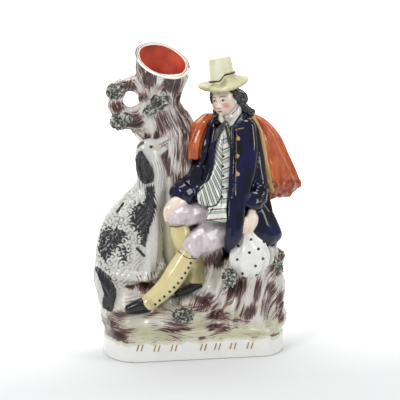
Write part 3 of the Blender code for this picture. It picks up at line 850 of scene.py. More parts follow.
def branch_skins():
    """The looped branch beside the cup, the lower branch, and stumps of twigs on both."""
    ring = []
    for degrees, thickness in ((40, 8.0), (90, 6.6), (130, 8.0), (175, 7.2), (215, 7.2), (262, 8.6),
                               (310, 9.0)):
        angle = math.radians(degrees)
        reach = BRANCH_HOLE / 2 + thickness
        x, z = LOOP_MIDDLE[0] + reach * math.cos(angle), LOOP_MIDDLE[2] + reach * math.sin(angle)
        ring.append((x, 4.0, z, thickness, thickness + 0.8))
    yield limb(ring, folds(7, 0.7, 5.0))
    yield limb([(-44, 5, 239, 9, 10), (-60, 3, 242, 6.5, 8), (-74, 2, 243, 6, 7.5)], folds(7, 0.8))
    yield limb([(-44, 6, 222, 8, 9), (-53, 5, 232, 7, 8), (-63, 3, 242, 5.5, 7)], folds(6, 0.5))
    yield limb([(-50, 5, 286, 8.2, 8), (-62, 5, 285, 6.2, 7), (-72, 4, 282.6, 6.2, 7)], folds(6, 0.7))
    yield limb([(-74, 2, 246, 6.5, 7), (-81, 1, 256, 5, 6), (-86, 1, 262, 3.6, 4.4)], folds(6, 0.5))


def cup_wall():
    """The wall of the cup, flaring up out of the trunk."""
    x, y, lip = LIP
    profile = along(((0.965, 1.0), (0.965, -0.35), (0.95, -0.56), (0.89, -0.75), (0.8, -0.95),
                     (0.66, -1.25)), 25)
    return stacked([(x, y, lip + rise * CUP_RADIUS, share * CUP_RADIUS) for share, rise in profile])


def middle_at(height, rows):
    """The middle at a height of a form given by rows that go up."""
    return np.stack([np.interp(height, rows[:, 2], rows[:, axis]) for axis in (0, 1)], -1)


def bark_grain(points):
    """Across and along the bark: the turn round the trunk and the height, or round the loop's hole."""
    middle = middle_at(points[:, 2], np.array(trunk_rows())[::-1])
    way = points[:, :2] - middle
    turn = np.arctan2(way[:, 0], -way[:, 1])
    across = turn * 30 + 3 * wander(points, 38.0, 3) + 0.7 * wander(points, 12.0, 5)
    lengthwise = points[:, 2]
    from_loop = points[:, (0, 2)] - LOOP_MIDDLE[[0, 2]]
    reach = np.linalg.norm(from_loop, axis=1)
    round_loop = np.arctan2(from_loop[:, 1], from_loop[:, 0])
    on_branch = ease(-47, -53, points[:, 0]) * ease(232, 236, points[:, 2])
    branch_across = reach * 1.2 + points[:, 1] * 0.9 + 2.0 * wander(points, 12.0, 5)
    across = across * (1 - on_branch) + branch_across * on_branch
    lengthwise = lengthwise * (1 - on_branch) + round_loop * 16 * on_branch
    view = seen(points)
    from_fork = grid(view[:, 0] - FORK[0], FORK[1] - view[:, 1])
    above_fork = ease(24, 14, np.abs(from_fork[:, 0] + 4)) * ease(4, 12, from_fork[:, 1])
    above_fork = above_fork * ease(8, 0, points[:, 1])
    fan = np.arctan2(from_fork[:, 0], np.maximum(from_fork[:, 1], 1.0)) * 26
    across = across * (1 - above_fork) + fan * above_fork
    return grid(across, lengthwise, 0)


def combed(grain, width, length, seed):
    """Low ridges along a grain: the share of the way from one smooth random value to the next."""
    place = grid(grain[:, 0] / width, grain[:, 1] / length, seed)
    return 1 - 2 * np.abs(wander(place, 1.0, seed))


def combed_twice(grain, width, lengths, seeds):
    """Broad combed ridges with finer ones among them."""
    return (0.6 * combed(grain, width, lengths[0], seeds[0])
            + 0.4 * combed(grain, FINE_COMB, lengths[1], seeds[1]))


FINE_COMB = 2.0
BARK_COMB, ROCK_COMB = (3.8, (30.0, 20.0), (7, 11)), (3.6, (34.0, 22.0), (17, 19))
# Soft dabs of maroon on the trunk, and places where it is paler; the strong dab at (139, 62) paints
# the shade down the cup's left side
TRUNK_WASH = ((128, 85, 8, 6, 0, 1.0), (143, 98, 7, 4.5, 30, 1.0), (117, 107, 7, 6, 0, 0.9),
              (136, 121, 8, 8, 40, 1.0), (164, 121, 9, 11, 0, 0.95), (150, 79, 7, 8, 0, 1.3),
              (170, 85, 12, 8, -20, 1.4), (139, 62, 5, 11, 0, 1.4), (176, 95, 4, 14, 0, 0.8),
              (182, 116, 7, 10, 0, 0.95), (185, 133, 4, 8, 0, 0.9), (146, 137, 3, 4, 0, 0.8),
              (156, 136, 4, 5, 0, 0.9), (167, 162, 4, 14, -12, 0.95), (178, 145, 4, 14, 0, 0.35),
              (188, 160, 6, 20, 0, 0.35), (182, 180, 6, 18, 0, 0.3),
              (110, 92, 5, 5, 0, 0.7), (120, 125, 9, 5, 0, 0.9))
TRUNK_PALE = ((165, 100, 7, 8, 0, 0.9), (150, 108, 9, 9, 0, 0.8), (150, 126, 6, 8, 0, 0.8),
              (160, 78, 3, 8, 0, 0.9), (118, 97, 6, 4, 0, 0.7), (185, 92, 4, 10, 0, 0.7),
              (168, 195, 6, 14, 0, 0.8), (164, 236, 16, 36, 0, 1.4), (178, 240, 10, 30, 0, 1.2))


def trunk():
    """Bark is combed along its grain; the cup's lip and bore are cut clean, and lined with orange."""
    skins = [limb(trunk_rows(), folds(9, 1.5, 2.0), sides=96), cup_wall(), *branch_skins()]
    body = fuse(skins, step=1.2, soften=3)
    grain = bark_grain(body.points)
    ridges = combed_twice(grain, *BARK_COMB)
    near_lip = ease(9.0, 2.0, np.abs((body.points - LIP) @ LIP_WAY))
    plain = ease(196, 214, seen(body.points)[:, 1])
    body.push((ridges - 0.2) * 1.15 * (1 - near_lip) * (1 - 0.85 * plain))
    body = cut_away(body, [above_lip(), stacked(bore_circles())])
    points = body.points
    grain = bark_grain(points)
    view, front = in_view(body)
    rise = (points - LIP) @ LIP_WAY
    circles = np.array(bore_circles())[::-1]
    bore = np.interp(points[:, 2], circles[:, 2], circles[:, 3])
    from_axis = np.linalg.norm(points[:, :2] - middle_at(points[:, 2], circles), axis=1)
    floor = LIP[2] - BORE_DEPTH
    in_bore = np.maximum(from_axis - bore - 0.25, floor - 1.0 - points[:, 2])
    relief = combed_twice(grain, *BARK_COMB)
    wash = dabs(view, *TRUNK_WASH) * front + (1 - front) * (0.32 + 0.4 * wander(points, 22.0, 9))
    wash = wash + front * (0.2 + 0.25 * wander(points, 11.0, 13))
    wash = np.clip(wash - front * dabs(view, *TRUNK_PALE), -0.5, 1.35)
    # The last of these lines, down the cup's left side, is painted shade
    ink = dashes(
        view, 0.5, ((132, 130), (138, 134), (143.4, 139)), ((168, 150), (166, 160), (169, 176)),
        ((144, 74), (145, 85)), ((150, 73), (151, 86)), ((155, 74), (155.5, 84)),
        ((166, 80), (165, 90)), ((172, 79), (170, 92)), ((178, 78), (174, 90)), ((139, 54), (138, 72)))
    ink = ink + OFF_FRONT * (1 - front)
    lip_band = np.abs(rise) - 0.7 - 0.8 * wander(points, 5.0, 15)
    piece("hollow_trunk", body, "bark", {
        "grain": grain, "level_grain": grain, "relief": relief, "wash": wash, "ink": ink,
        "lining": in_bore, "lip": np.maximum(lip_band, -in_bore - 0.5),
        # Painted shade: an olive dab darkens the trunk in the recess between the dog and the man's legs
        "olive": dabs(view, (166, 250, 12, 40, 0, 0.8)) * front})


def lip_ring():
    """The rolled lip: a rounded section carried round the tilted mouth of the cup."""
    turn, bend = turns(192)[:, None], turns(20)[None, :]
    half = CUP_WALL / 2 + 0.05
    reach = CUP_RADIUS - CUP_WALL / 2 - 0.2 + half * np.cos(bend) + 0.25 * np.sin(5 * turn + 1)
    x, y = reach * np.cos(turn), reach * np.sin(turn)
    drop = -(LIP_WAY[0] * x + LIP_WAY[1] * y) / LIP_WAY[2]
    rings = grid(x, y, drop + 0.75 * np.sin(bend) - 0.5) + LIP
    skin = round_skin(rings)
    inner = spread(np.cos(bend), rings.shape[:2])
    wobble = 0.12 * wander(skin.points, 7.0, 21)
    behind = spread(ease(-0.6, -0.2, np.sin(turn)), rings.shape[:2])
    piece("cup_lip", skin, "bark", {
        "ink": FAR_FROM_MARK - 9.4 * ease(-0.1, 0.15, inner) * behind,
        "lining": inner * 4 + 2.2, "lip": ease(-0.15, 0.05, inner) * behind * 9 - 1,
        "lip_line": np.abs(inner + 0.15 + 0.2 * behind + wobble) * 3 - 0.7})


# Clumps of moss: ellipsoids given by middle, radii and tilt
MOSS = {
    "upper_moss": (((-81.8, 0, 275.0), (9.2, 9, 9.4), 0.3), ((-76.0, -1, 281.0), (6.4, 7, 5), 0.3)),
    "lower_moss": (((-77.6, -2, 245.2), (10.3, 9.5, 9.6), 0.4), ((-70, -3.5, 248.5), (6.4, 7, 6.5), 0.5)),
    "trunk_moss": (((-46.5, -13, 257.5), (8.5, 6, 5.6), 0.3), ((-38.5, -13, 264.5), (8, 6.4, 9.4), 0.2),
                   ((-31.5, -13, 266.5), (6.5, 6, 6), 0.2)),
    "bundle_moss": (((31.5, -37, 84), (8.4, 6, 11), 0.2),),
    "ground_moss": (((-17, -39, 46), (12.5, 6, 8.5), 0.1),),
    "knob_moss": (((85.5, -23, 90.5), (6.5, 7, 10), 0.2),)}


def moss_clumps():
    """Shredded clay: knobs raised round scattered middles, with pits between."""
    for name, clumps in MOSS.items():
        body = fuse([lump(*clump) for clump in clumps], step=0.75)
        near = np.linalg.norm(nearest_seed(body.points, 2.5, 31), axis=1)
        lobe = np.linalg.norm(nearest_seed(body.points, 5.5, 41), axis=1)
        knobs = ease(1.7, 0.2, near) - 0.5 + 0.8 * (ease(4.4, 0.8, lobe) - 0.5)
        body.push(knobs * 1.6)
        piece(name, body, "moss", {"relief": knobs * 1.6})


# Seated dog: outlines of its black patches and fine lines, in the front view

DOG_BLACK = (
    ((146, 186), (154, 186), (155, 203), (156.5, 205), (153, 218), (149.5, 229), (147, 239),
     (144.4, 247), (142.4, 246), (140.5, 240), (137.5, 231), (131, 224), (132, 214), (135, 205),
     (145.5, 202)),
    ((98.6, 238), (101.5, 231.4), (107, 227), (117, 229), (124.6, 232.5), (126.8, 238),
     (123.5, 241.3), (118, 245.7), (111.4, 252.3), (108, 260), (104, 261), (98.2, 249)),
    ((95.2, 265.3), (106.7, 273.6), (116.3, 288.9), (115.6, 309.3), (111, 312.5), (102.9, 307.4),
     (102.2, 303.5), (104.1, 293.3), (100.3, 281.2), (95.2, 269)),
    ((119, 247), (127, 247), (127, 252), (120, 254)), ((122, 256), (127, 255), (126, 261), (121, 261)))
DOG_EYE = np.array([151.3, 147.4])
DOG_DASHES = (((137, 248.4), (143.8, 255.7)), ((117.2, 211.5), (123, 203.6)))
DOG_CLAWS = (((136.7, 276), (139, 280.6)), ((140, 275.5), (141.8, 279)), ((147.5, 274), (149, 280)),
             ((151, 272), (152.4, 278)), ((154, 271.7), (155, 276)), ((156.6, 263), (158, 266)),
             ((160, 264), (161.8, 267)), ((163.6, 265), (165, 268.6)))
DOG_MOUTH = (((159, 145.3), (163.5, 142.3), (168, 140.2)),
             ((160.6, 147.8), (164.6, 145.4), (168.6, 143.3)), ((168, 140.2), (168.8, 143.2)),
             ((161.6, 144), (162.4, 146.4)), ((163.8, 142.8), (164.6, 145.2)),
             ((166, 141.6), (166.8, 144.2)))


def dog_skins():
    """The dog's body from crown to seat, brow, jaws, forelegs, haunch, hind foot and toes."""
    yield limb([(-50, -9, 213, 13, 11), (-47.5, -9, 200, 15, 13), (-46, -9, 187, 16, 15),
                (-47.8, -8, 172, 18.6, 17), (-56.4, -7, 155, 24.6, 19), (-66, -6, 135, 31, 21),
                (-71, -5, 115, 32, 22), (-74, -4, 95, 31, 22), (-74, -3, 72, 30, 20)], sides=96)
    yield lump((-50.5, -10, 217.5), (11.5, 9.8, 9.6), 0.3)
    yield lump((-48.5, -10, 223.4), (8.5, 7.5, 4.6), 0.25)
    yield limb([(-47, -11, 219, 8.2, 8.0), (-39, -12.5, 222.0, 6.0, 6.0), (-32.5, -13.5, 225.6, 4.8, 5.0),
                (-29.5, -14, 227.8, 4.0, 4.4)])
    yield limb([(-47, -11, 212.5, 6.5, 6.5), (-40, -12, 212.6, 4.4, 5), (-34, -13, 215.2, 3.0, 4.0),
                (-30.5, -13.5, 217.6, 2.3, 3.2)])
    yield limb([(-48, -13, 152, 12, 11), (-48, -19, 128, 9.5, 9), (-49, -23, 106, 7.5, 7.5),
                (-51, -24, 92, 7, 7), (-55, -26, 86, 8, 6)], folds(4, 0.8, 9.0))
    yield limb([(-42, -8, 145, 9, 10), (-41, -12, 120, 7, 8), (-41, -15, 100, 6, 7),
                (-43, -19, 89, 6.5, 6.5), (-47, -23, 86, 6.5, 5)])
    yield limb([(-41, -14, 106, 6, 7), (-38.8, -17.5, 98, 6, 6.5), (-36.6, -20.5, 94.5, 5.2, 5)])
    yield lump((-86, -12, 103), (19, 14, 27), 0.25)
    yield limb([(-88, -18, 88, 8, 8), (-76, -23, 87, 7, 7), (-65, -26, 86.5, 6.5, 6)])
    for paw in ((-59, -28.5, 84.5), (-55.5, -30, 83.5), (-51.5, -29.5, 84.5), (-64, -29.5, 84.5),
                (-60.5, -30, 84), (-47, -26, 84.5), (-43.5, -25, 85.5)):
        yield lump(paw, (3.0, 3.6, 2.8), 0.2, sides=24, rings=14)


def curls(points, size, pitch, seed):
    """Locks that coil round scattered middles, each its own way round: a wave of the distance from the
    middle plus or less the turn round it, faded towards the next lock."""
    away = nearest_seed(points, size, seed)
    middle = points - away
    reach = np.hypot(away[:, 0], away[:, 2])
    turn = np.arctan2(away[:, 2], away[:, 0]) * np.sign(wander(middle, 1.7, seed + 5))
    wave = np.cos(2 * math.pi * reach / pitch + turn + 3 * wander(middle, 1.3, seed + 7))
    return wave * ease(size * 1.1, size * 0.35, reach)


def dog():
    """White curly fur; the black ear, shoulder, haunch and tail are painted over the curls."""
    body = fuse(list(dog_skins()), step=0.82, soften=3)
    points = body.points
    view, front = in_view(body)
    black = np.min([to_patch(view, outline) for outline in DOG_BLACK], axis=0)
    smooth_part = ease(203, 212, points[:, 2]) + ease(96, 88, points[:, 2]) * ease(-75, -64, points[:, 0])
    smooth_part = np.clip(smooth_part + dabs(view, (152, 258, 9, 28, 0, 1.0)) * front, 0, 1)
    chest = ease(142, 150, view[:, 0]) + ease(206, 196, view[:, 1]) * ease(132, 140, view[:, 0])
    chest = np.clip(chest, 0, 1)
    curly = np.clip(ease(9, 3, black) * ease(-6, -2, black) * front + 0.6 * (1 - front), 0, 1)
    curly = np.maximum(curly, dabs(view, (116, 224, 14, 18, 30, 0.9), (122, 252, 12, 9, 0, 1.0),
                                   (112, 262, 12, 8, 0, 0.7), (133, 200, 8, 16, 0, 0.7)) * front)
    back_flow = 0.8 * points[:, 0] - 0.6 * points[:, 2] + 3.0 * wander(points, 12.0, 52)
    soft_hair = 0.55 * np.cos(2 * math.pi * back_flow / 4.4) * (0.6 + 0.4 * wander(points, 8.0, 54))
    curled = 0.9 * curls(points, 7.0, 4.0, 51) + 0.2 * wander(points, 2.4, 53)
    fur = curly * curled + (1 - curly) * soft_hair
    flow = points[:, 0] + 0.2 * points[:, 2] + 1.6 * np.sin(points[:, 2] / 6.5)
    flow = flow + 2.2 * wander(points, 12.0, 55)
    long_hair = np.cos(2 * math.pi * flow / 2.7) * (0.55 + 0.6 * wander(points, 7.0, 59))
    relief = (fur * (1 - chest) + 0.85 * long_hair * chest) * (1 - smooth_part)
    body.push(relief * (0.8 - 0.35 * chest) - 0.3)
    eye = np.linalg.norm(view - DOG_EYE, axis=1)
    socket = np.linalg.norm((view - np.array([151.5, 147.6])) / (3.6, 2.6), axis=1)
    socket = np.exp(-socket ** 2) * front
    ball = np.exp(-(eye / 1.5) ** 2) * front
    mouth = np.exp(-(to_line(view, ((155, 150), (160.3, 144.8), (168.3, 141.0))) / 0.9) ** 2) * front
    chops = np.exp(-(to_line(view, ((154, 146), (160, 141), (167, 138.5))) / 1.6) ** 2) * front
    body.push(ball * 0.9 - socket * 1.0 - mouth * 0.7 + chops * 0.25)
    far = 14 * (1 - front)
    grey = dashes(view, 1.7, ((137.2, 146.6), (139.6, 144), (142.6, 142.6)))
    ink = dashes(view, 0.45, *DOG_CLAWS, ((149, 146.9), (150.4, 145.7), (152.6, 145.8), (153.8, 147.2)))
    ink = np.minimum(ink, dashes(view, 0.35, *DOG_MOUTH, ((167.6, 135.6), (169.2, 138.4), (169.4, 141))))
    ink = np.minimum(ink, dashes(view, 1.4, *DOG_DASHES))
    ink = np.minimum(ink, np.linalg.norm((view - DOG_EYE) / (1.0, 0.9), axis=1) - 1.4)
    back_patch = 9 * wander(points, 26.0, 57) - 2.0
    black = np.maximum(black, -1.15) * front + (1 - front) * (back_patch + 4.0)
    piece("seated_dog", body, "dog", {
        "relief": relief, "black": black, "ink": ink + far, "grey": grey + far,
        "blush": dabs(view, (157.5, 147, 3.5, 3, 0, 0.9), (164, 144, 4, 1.4, -30, 1.0)) * front})


def dog_ear():
    """The long hanging ear, its hair in waves down it."""
    hair = lambda turn, level: (0.7 * np.cos(7 * turn + 2.0 * np.sin(9 * level))
                                + 0.45 * np.cos(13 * turn + 5 * level))
    skin = limb(stand((140.5, 153, -17, 2.2, 3.2), (140.7, 158, -20, 4.6, 4.2),
                      (142.7, 164.5, -22, 6.7, 4.6), (145.2, 171.5, -23, 7.7, 4.6),
                      (147, 177.5, -23, 7.3, 4.2), (147.6, 180.3, -23, 6.0, 3.6)), hair, sides=90,
                fine=16)
    skin.push(0.25 * wander(skin.points, 2.0, 61))
    piece("dog_ear", skin, "ear")


def dog_tail():
    """The brush of the tail, hanging over the base in long waves."""
    hair = lambda turn, level: (1.0 * np.cos(5 * turn + 4.0 + 1.5 * np.sin(8 * level))
                                + 0.5 * np.cos(11 * turn + 3 * np.sin(12 * level)))
    skin = limb([(-99, -12, 100, 5.5, 6), (-98, -17, 86, 9, 7), (-94, -20, 72, 11, 8),
                 (-93, -20, 60, 9.5, 7.5), (-92, -19, 50, 5.5, 6)], hair, sides=100, fine=18)
    view, front = in_view(skin)
    black = 2.5 * to_patch(view, DOG_BLACK[2]) * front + (1 - front) * (6 * wander(skin.points, 18.0, 57))
    piece("dog_tail", skin, "dog", {"relief": 0.25 * wander(skin.points, 3.0, 65), "black": black})


# The seated man's head and hat

HEAD_MIDDLE = np.array([31.6, -2.4, 265.4])
HEAD_TURN = Euler((math.radians(-3), math.radians(-6), math.radians(-34)), "ZYX")
HEAD_GROWTH = 1.09
HEAD_FRAME = np.array(HEAD_TURN.to_matrix())
JAW_LINE = ((239.2, 104.5), (236.5, 109.5), (232, 113.8))


def bump(place, middle, radii, height):
    """A rounded rise of the face: a bell curve over an oval."""
    way = (place - np.array(middle)) / np.array(radii)
    return height * np.exp(-(way ** 2).sum(axis=-1))


# The face's forms on one side, mirrored to the other: middle, radii and height of nose tip, nostril,
# brow, forehead, socket, eyeball, cheek, both lips, mouth line, hollow below the lips and chin
FACE_FORMS = (
    ((0, -5.2), (1.7, 1.5), 1.5), ((2.0, -6.0), (1.0, 0.9), 0.9), ((4.2, 3.4), (3.8, 1.3), 0.75),
    ((0, 9.0), (8, 6), 0.5), ((4.4, 0.6), (3.2, 1.9), -1.5), ((4.3, 0.1), (1.9, 1.15), 1.15),
    ((6.4, -4.6), (3.0, 3.0), 0.7), ((0, -8.9), (2.9, 0.75), 0.75), ((0, -10.6), (2.4, 0.8), 0.8),
    ((0, -9.8), (3.0, 0.32), -0.55), ((0, -12.1), (2.6, 0.8), -0.5), ((0, -14.2), (3.2, 2.2), 1.5))


def face_relief(place):
    """How far the face stands out over a smooth oval, at places (aside, up) in millimetres from the
    line of the eyes: eyes on the half height, nose a quarter lower, mouth a third of the rest."""
    aside = np.abs(place[:, 0])
    up = place[:, 1]
    both_sides = grid(aside, up)
    ridge = ease(3.4, 1.6, up) * ease(-7.0, -5.6, up)
    width = 1.5 + 0.5 * ease(0, -6, up)
    nose = ridge * (1.1 + 2.4 * ease(2.0, -5.4, up)) * np.exp(-(aside / width) ** 2)
    return nose + sum(bump(both_sides, *row) for row in FACE_FORMS)


def head():
    """An oval head that narrows to the jaw, with a calm, regular face raised on its front."""
    polar = np.linspace(0.02, math.pi - 0.02, 150)[:, None]
    turn = turns(200)[None, :]
    way = grid(np.sin(polar) * np.sin(turn), -np.sin(polar) * np.cos(turn), np.cos(polar))
    local = way * np.array([12.2, 13.4, 15.6])
    jaw = ease(-3.0, -15.0, local[..., 2])
    local[..., 0] *= 1 - 0.26 * jaw
    local[..., 1] += -1.5 * jaw * ease(6.0, -9.0, local[..., 1])
    front = ease(0.0, -0.55, way[..., 1])
    place = local[..., (0, 2)].reshape(-1, 2)
    local[..., 1] -= face_relief(place).reshape(local.shape[:2]) * front
    ear = np.exp(-(((local[..., 1] - 1.0) / 2.2) ** 2 + ((local[..., 2] + 1.5) / 3.8) ** 2))
    local[..., 0] += np.sign(local[..., 0]) * 1.3 * ear
    skin = ring_skin(local @ HEAD_FRAME.T * HEAD_GROWTH + HEAD_MIDDLE)
    flat = np.vstack([place, local[0].mean(axis=0)[[0, 2]], local[-1].mean(axis=0)[[0, 2]]])
    on_face = np.append(front.ravel(), (0.0, 0.0))
    aside = grid(np.abs(flat[:, 0]), flat[:, 1])
    away = 6 * (1 - on_face)
    lid = dashes(aside, 0.24, ((2.2, -0.1), (3.3, 1.05), (4.6, 1.25), (6.4, 0.2)))
    brow = dashes(aside, 0.34, ((2.0, 3.4), (4.2, 4.4), (7.0, 3.3)))
    pupil = dots(aside, 0.85, (4.35, 0.15))
    mouth_line = dashes(aside, 0.12, ((0, -9.75), (1.4, -9.65), (2.6, -9.85)))
    nostril = dots(aside, 0.28, (0.95, -6.9))
    eye_white = np.linalg.norm((aside - np.array([4.35, 0.15])) / (2.1, 1.1), axis=1) - 1
    lips = np.linalg.norm((aside - np.array([0.0, -9.8])) / (2.3, 0.9), axis=1) - 1
    blush = bump(aside, (6.4, -4.8), (3.0, 2.9), 0.95) * on_face
    collar = to_line(seen(skin.points), JAW_LINE) - 0.35
    piece("head", skin, "face", {
        "ink": np.minimum(np.min([lid, brow, pupil, mouth_line, nostril], axis=0) + away, collar),
        "eye_white": eye_white + away, "lips": lips + away, "blush": blush})


def hair():
    """Hair combed back under the hat: a cap of strands, long locks behind and short ones in front."""
    strands = lambda turn, level: (0.6 * np.cos(15 * turn + 4 * np.sin(9 * level))
                                   + 0.5 * np.cos(8 * turn + 3 * np.sin(12 * level) + 1))
    twisted = lambda turn, level: 0.7 * np.cos(5 * turn + 9 * level) + 0.5 * np.cos(11 * turn - 7 * level)
    skins = [limb(stand(*rows), twisted, sides=90, fine=16)
             for rows in (((230.5, 91.5, -9, 3.4, 4), (236, 92.5, -7, 4.2, 5),
                           (241.8, 95, -2, 4.4, 5.4), (244.6, 99.4, 1, 3.4, 5)),
                          ((233.5, 96, -10, 2.8, 3.6), (237.5, 98, -7, 3.6, 4.6),
                           (241.5, 101, -2, 3.8, 5)),
                          ((238.4, 101, -6, 2.8, 3.6), (241.4, 104.6, -4, 3.6, 4.2),
                           (245, 108.4, -4, 4.4, 4.4), (248.6, 111.6, -4.5, 4.8, 4.2),
                           (251, 113.4, -4.5, 4.9, 4)))]
    skins.append(lump((38.0, 5.8, 268.4), (12.6, 13.2, 15.0), 0.1, strands, 120, 70))
    for rows, relief in ((((211.0, 92.5, -6, 1.1, 2.4), (210.6, 98, -7, 1.1, 2.4),
                           (212.0, 103.5, -7, 0.8, 1.8)), folds(3, 0.2)),
                         (((214.6, 110, 2, 1.8, 2.6), (215.2, 113, 2, 2.0, 2.6),
                           (216.6, 115.5, 2, 1.8, 2.4)), strands)):
        skins.append(limb(stand(*rows), relief, sides=60))
    body = fuse(skins, step=0.62, soften=1)
    piece("hair", body, "hair")


HAT_MIDDLE = np.array([30.2, 0.0, 290.0])
HAT_LEAN = np.array(Euler((0, -math.radians(10), 0)).to_matrix())
CROWN_FOOT, BRIM_STARTS, BRIM_WIDTH = 14.5, 14.2, 12.3
BAND_HEIGHT = 2.1


def band_sag(aside):
    """How far the crown's foot hangs lower on the side where the brim droops."""
    return 5.5 * ease(1.5, -6.0, aside)


def hat():
    """A soft hat: a turned profile leaning to the dog's side, its brim drooping at the front."""
    profile = ((0.6, 20.8), (6.6, 21.0), (9.9, 20.2), (11.0, 18.6), (12.0, 11.6), (12.6, 7.0),
               (13.2, 4.6), (13.5, 1.5), (14.2, -0.2), (17.0, -1.6), (22.5, -3.9), (25.7, -5.4),
               (26.9, -6.6), (26.2, -7.8), (22.0, -7.2), (15.0, -5.5), (8.0, -5.0), (0.6, -4.8))
    turn = turns(144)[None, :]
    outline = along(profile, len(profile) * 5)
    radius, height = outline[:, :1], outline[:, 1:]
    share_of_brim = np.clip((radius - BRIM_STARTS) / BRIM_WIDTH, 0, 1)
    droop = share_of_brim * (0.96 - 3.5 * np.sin(turn) - 1.6 * np.cos(2 * turn) + 0.35 * np.sin(2 * turn))
    dent = 0.9 * ease(3, 17, height) * np.cos(2 * turn + 0.6)
    dent = dent + 0.35 * ease(2, 12, height) * np.cos(5 * turn)
    crease = -1.6 * np.exp(-((radius * np.sin(turn)) / 3.0) ** 2) * ease(17, 19, height)
    reach = radius + dent * ease(2, 8, radius)
    sag = band_sag(reach * np.cos(turn)) * ease(9, 2, height) * ease(26, 15, radius)
    local = grid(reach * np.cos(turn), reach * np.sin(turn), height - droop + crease - sag)
    skin = ring_skin(local @ HAT_LEAN.T + HAT_MIDDLE)
    shape = local.shape[:2]
    band_height = spread(height, shape, (20.0, -6.0))
    is_crown = spread(radius, shape, (0.0, 0.0)) < CROWN_FOOT
    upper = spread(np.arange(len(outline))[:, None] < len(outline) * 0.6, shape, (True, False))
    band = np.where(is_crown & upper, np.abs(band_height - BAND_HEIGHT) - 0.6, FAR_FROM_MARK)
    roll = to_line(seen(skin.points), ((205, 90), (214, 86.5), (219, 80.5), (223, 76)))
    roll = np.exp(-(roll / 1.3) ** 2)
    skin.push(0.9 * roll * in_view(skin)[1])
    # Painted shade: the wash value darkens the whole brim and the roll along its front
    brim = np.where(is_crown, 0.0, 0.75) + 0.35 * roll + 0.25 * wander(skin.points, 9.0, 23)
    piece("hat", skin, "hat", {"ink": band, "wash": np.clip(brim, 0, 1)})


def hat_band():
    """A cord round the crown, above the brim."""
    turn, bend = turns(120)[:, None], turns(12)[None, :]
    reach = 13.8 + 0.8 * np.cos(bend) + 0.35 * np.cos(2 * turn + 0.6)
    local = grid(reach * np.cos(turn), reach * np.sin(turn),
                 2.2 + 0.95 * np.sin(bend) - band_sag(reach * np.cos(turn)))
    skin = round_skin(local @ HAT_LEAN.T + HAT_MIDDLE)
    piece("hat_band", skin, "hat", {"ink": np.full(len(skin.points), -1.0)})


def neck_cloths():
    """The neck and the white stock round it, the shirt's collar points, and the dark bow."""
    piece("neck", limb([(34.5, 0, 256, 9.4, 9.4), (36, 1, 249, 9.6, 9.6), (37, 2, 242, 12, 12)]), "flesh")
    linen = [limb([(37, 1, 246, 11.5, 11.5), (38, 1, 241, 13.5, 13.5)], creases(2, 0.5), level_cuts=True)]
    linen += [limb(stand(*rows)) for rows in (
        ((236, 105.5, -2, 5.4, 6), (235.6, 111, -4, 6.6, 7), (233.5, 117.5, -7, 7.6, 7)),
        ((219.6, 115.5, -10, 2.0, 2.0), (221.2, 119, -14, 2.6, 2.2), (223, 122.5, -17, 1.8, 1.8)),
        ((240, 113.5, -7, 2.2, 2.2), (236.5, 118.5, -13, 3.4, 2.4), (230.4, 125.5, -18, 2.4, 1.9)),
        ((224, 128, -16, 3.2, 2.4), (226, 136, -19.5, 3.0, 2.2), (227.5, 143, -21, 1.6, 1.6)))]
    stock = fuse(linen, step=0.75)
    piece("stock", stock, "linen", {"ink": dashes(seen(stock.points), 0.4, JAW_LINE)})
    silk = [lump(tuple(stand((225.4, 123.6, -20))[0]), (3.4, 2.8, 3.2))]
    silk += [limb(stand(*rows), folds(5, 0.35)) for rows in (
        ((223, 125, -20, 2.0, 1.8), (218, 131, -20.5, 2.4, 1.8), (214.6, 138.5, -20.5, 2.6, 1.6),
         (213.4, 141.5, -20, 1.4, 1.2)),
        ((227, 126, -20, 2.0, 1.8), (229, 134, -22, 2.5, 1.9), (230.4, 143, -23, 3.0, 1.7),
         (230.8, 149, -23, 1.6, 1.4)))]
    bow = fuse(silk, step=0.55, soften=1)
    view = seen(bow.points)
    # The white dot on the knot, drawn as the bow's ink mark, is a painted highlight
    piece("neck_bow", bow, "bow", {"ink": dots(view, 0.7, (226.3, 124.1))})


# The seated man's clothes and hands

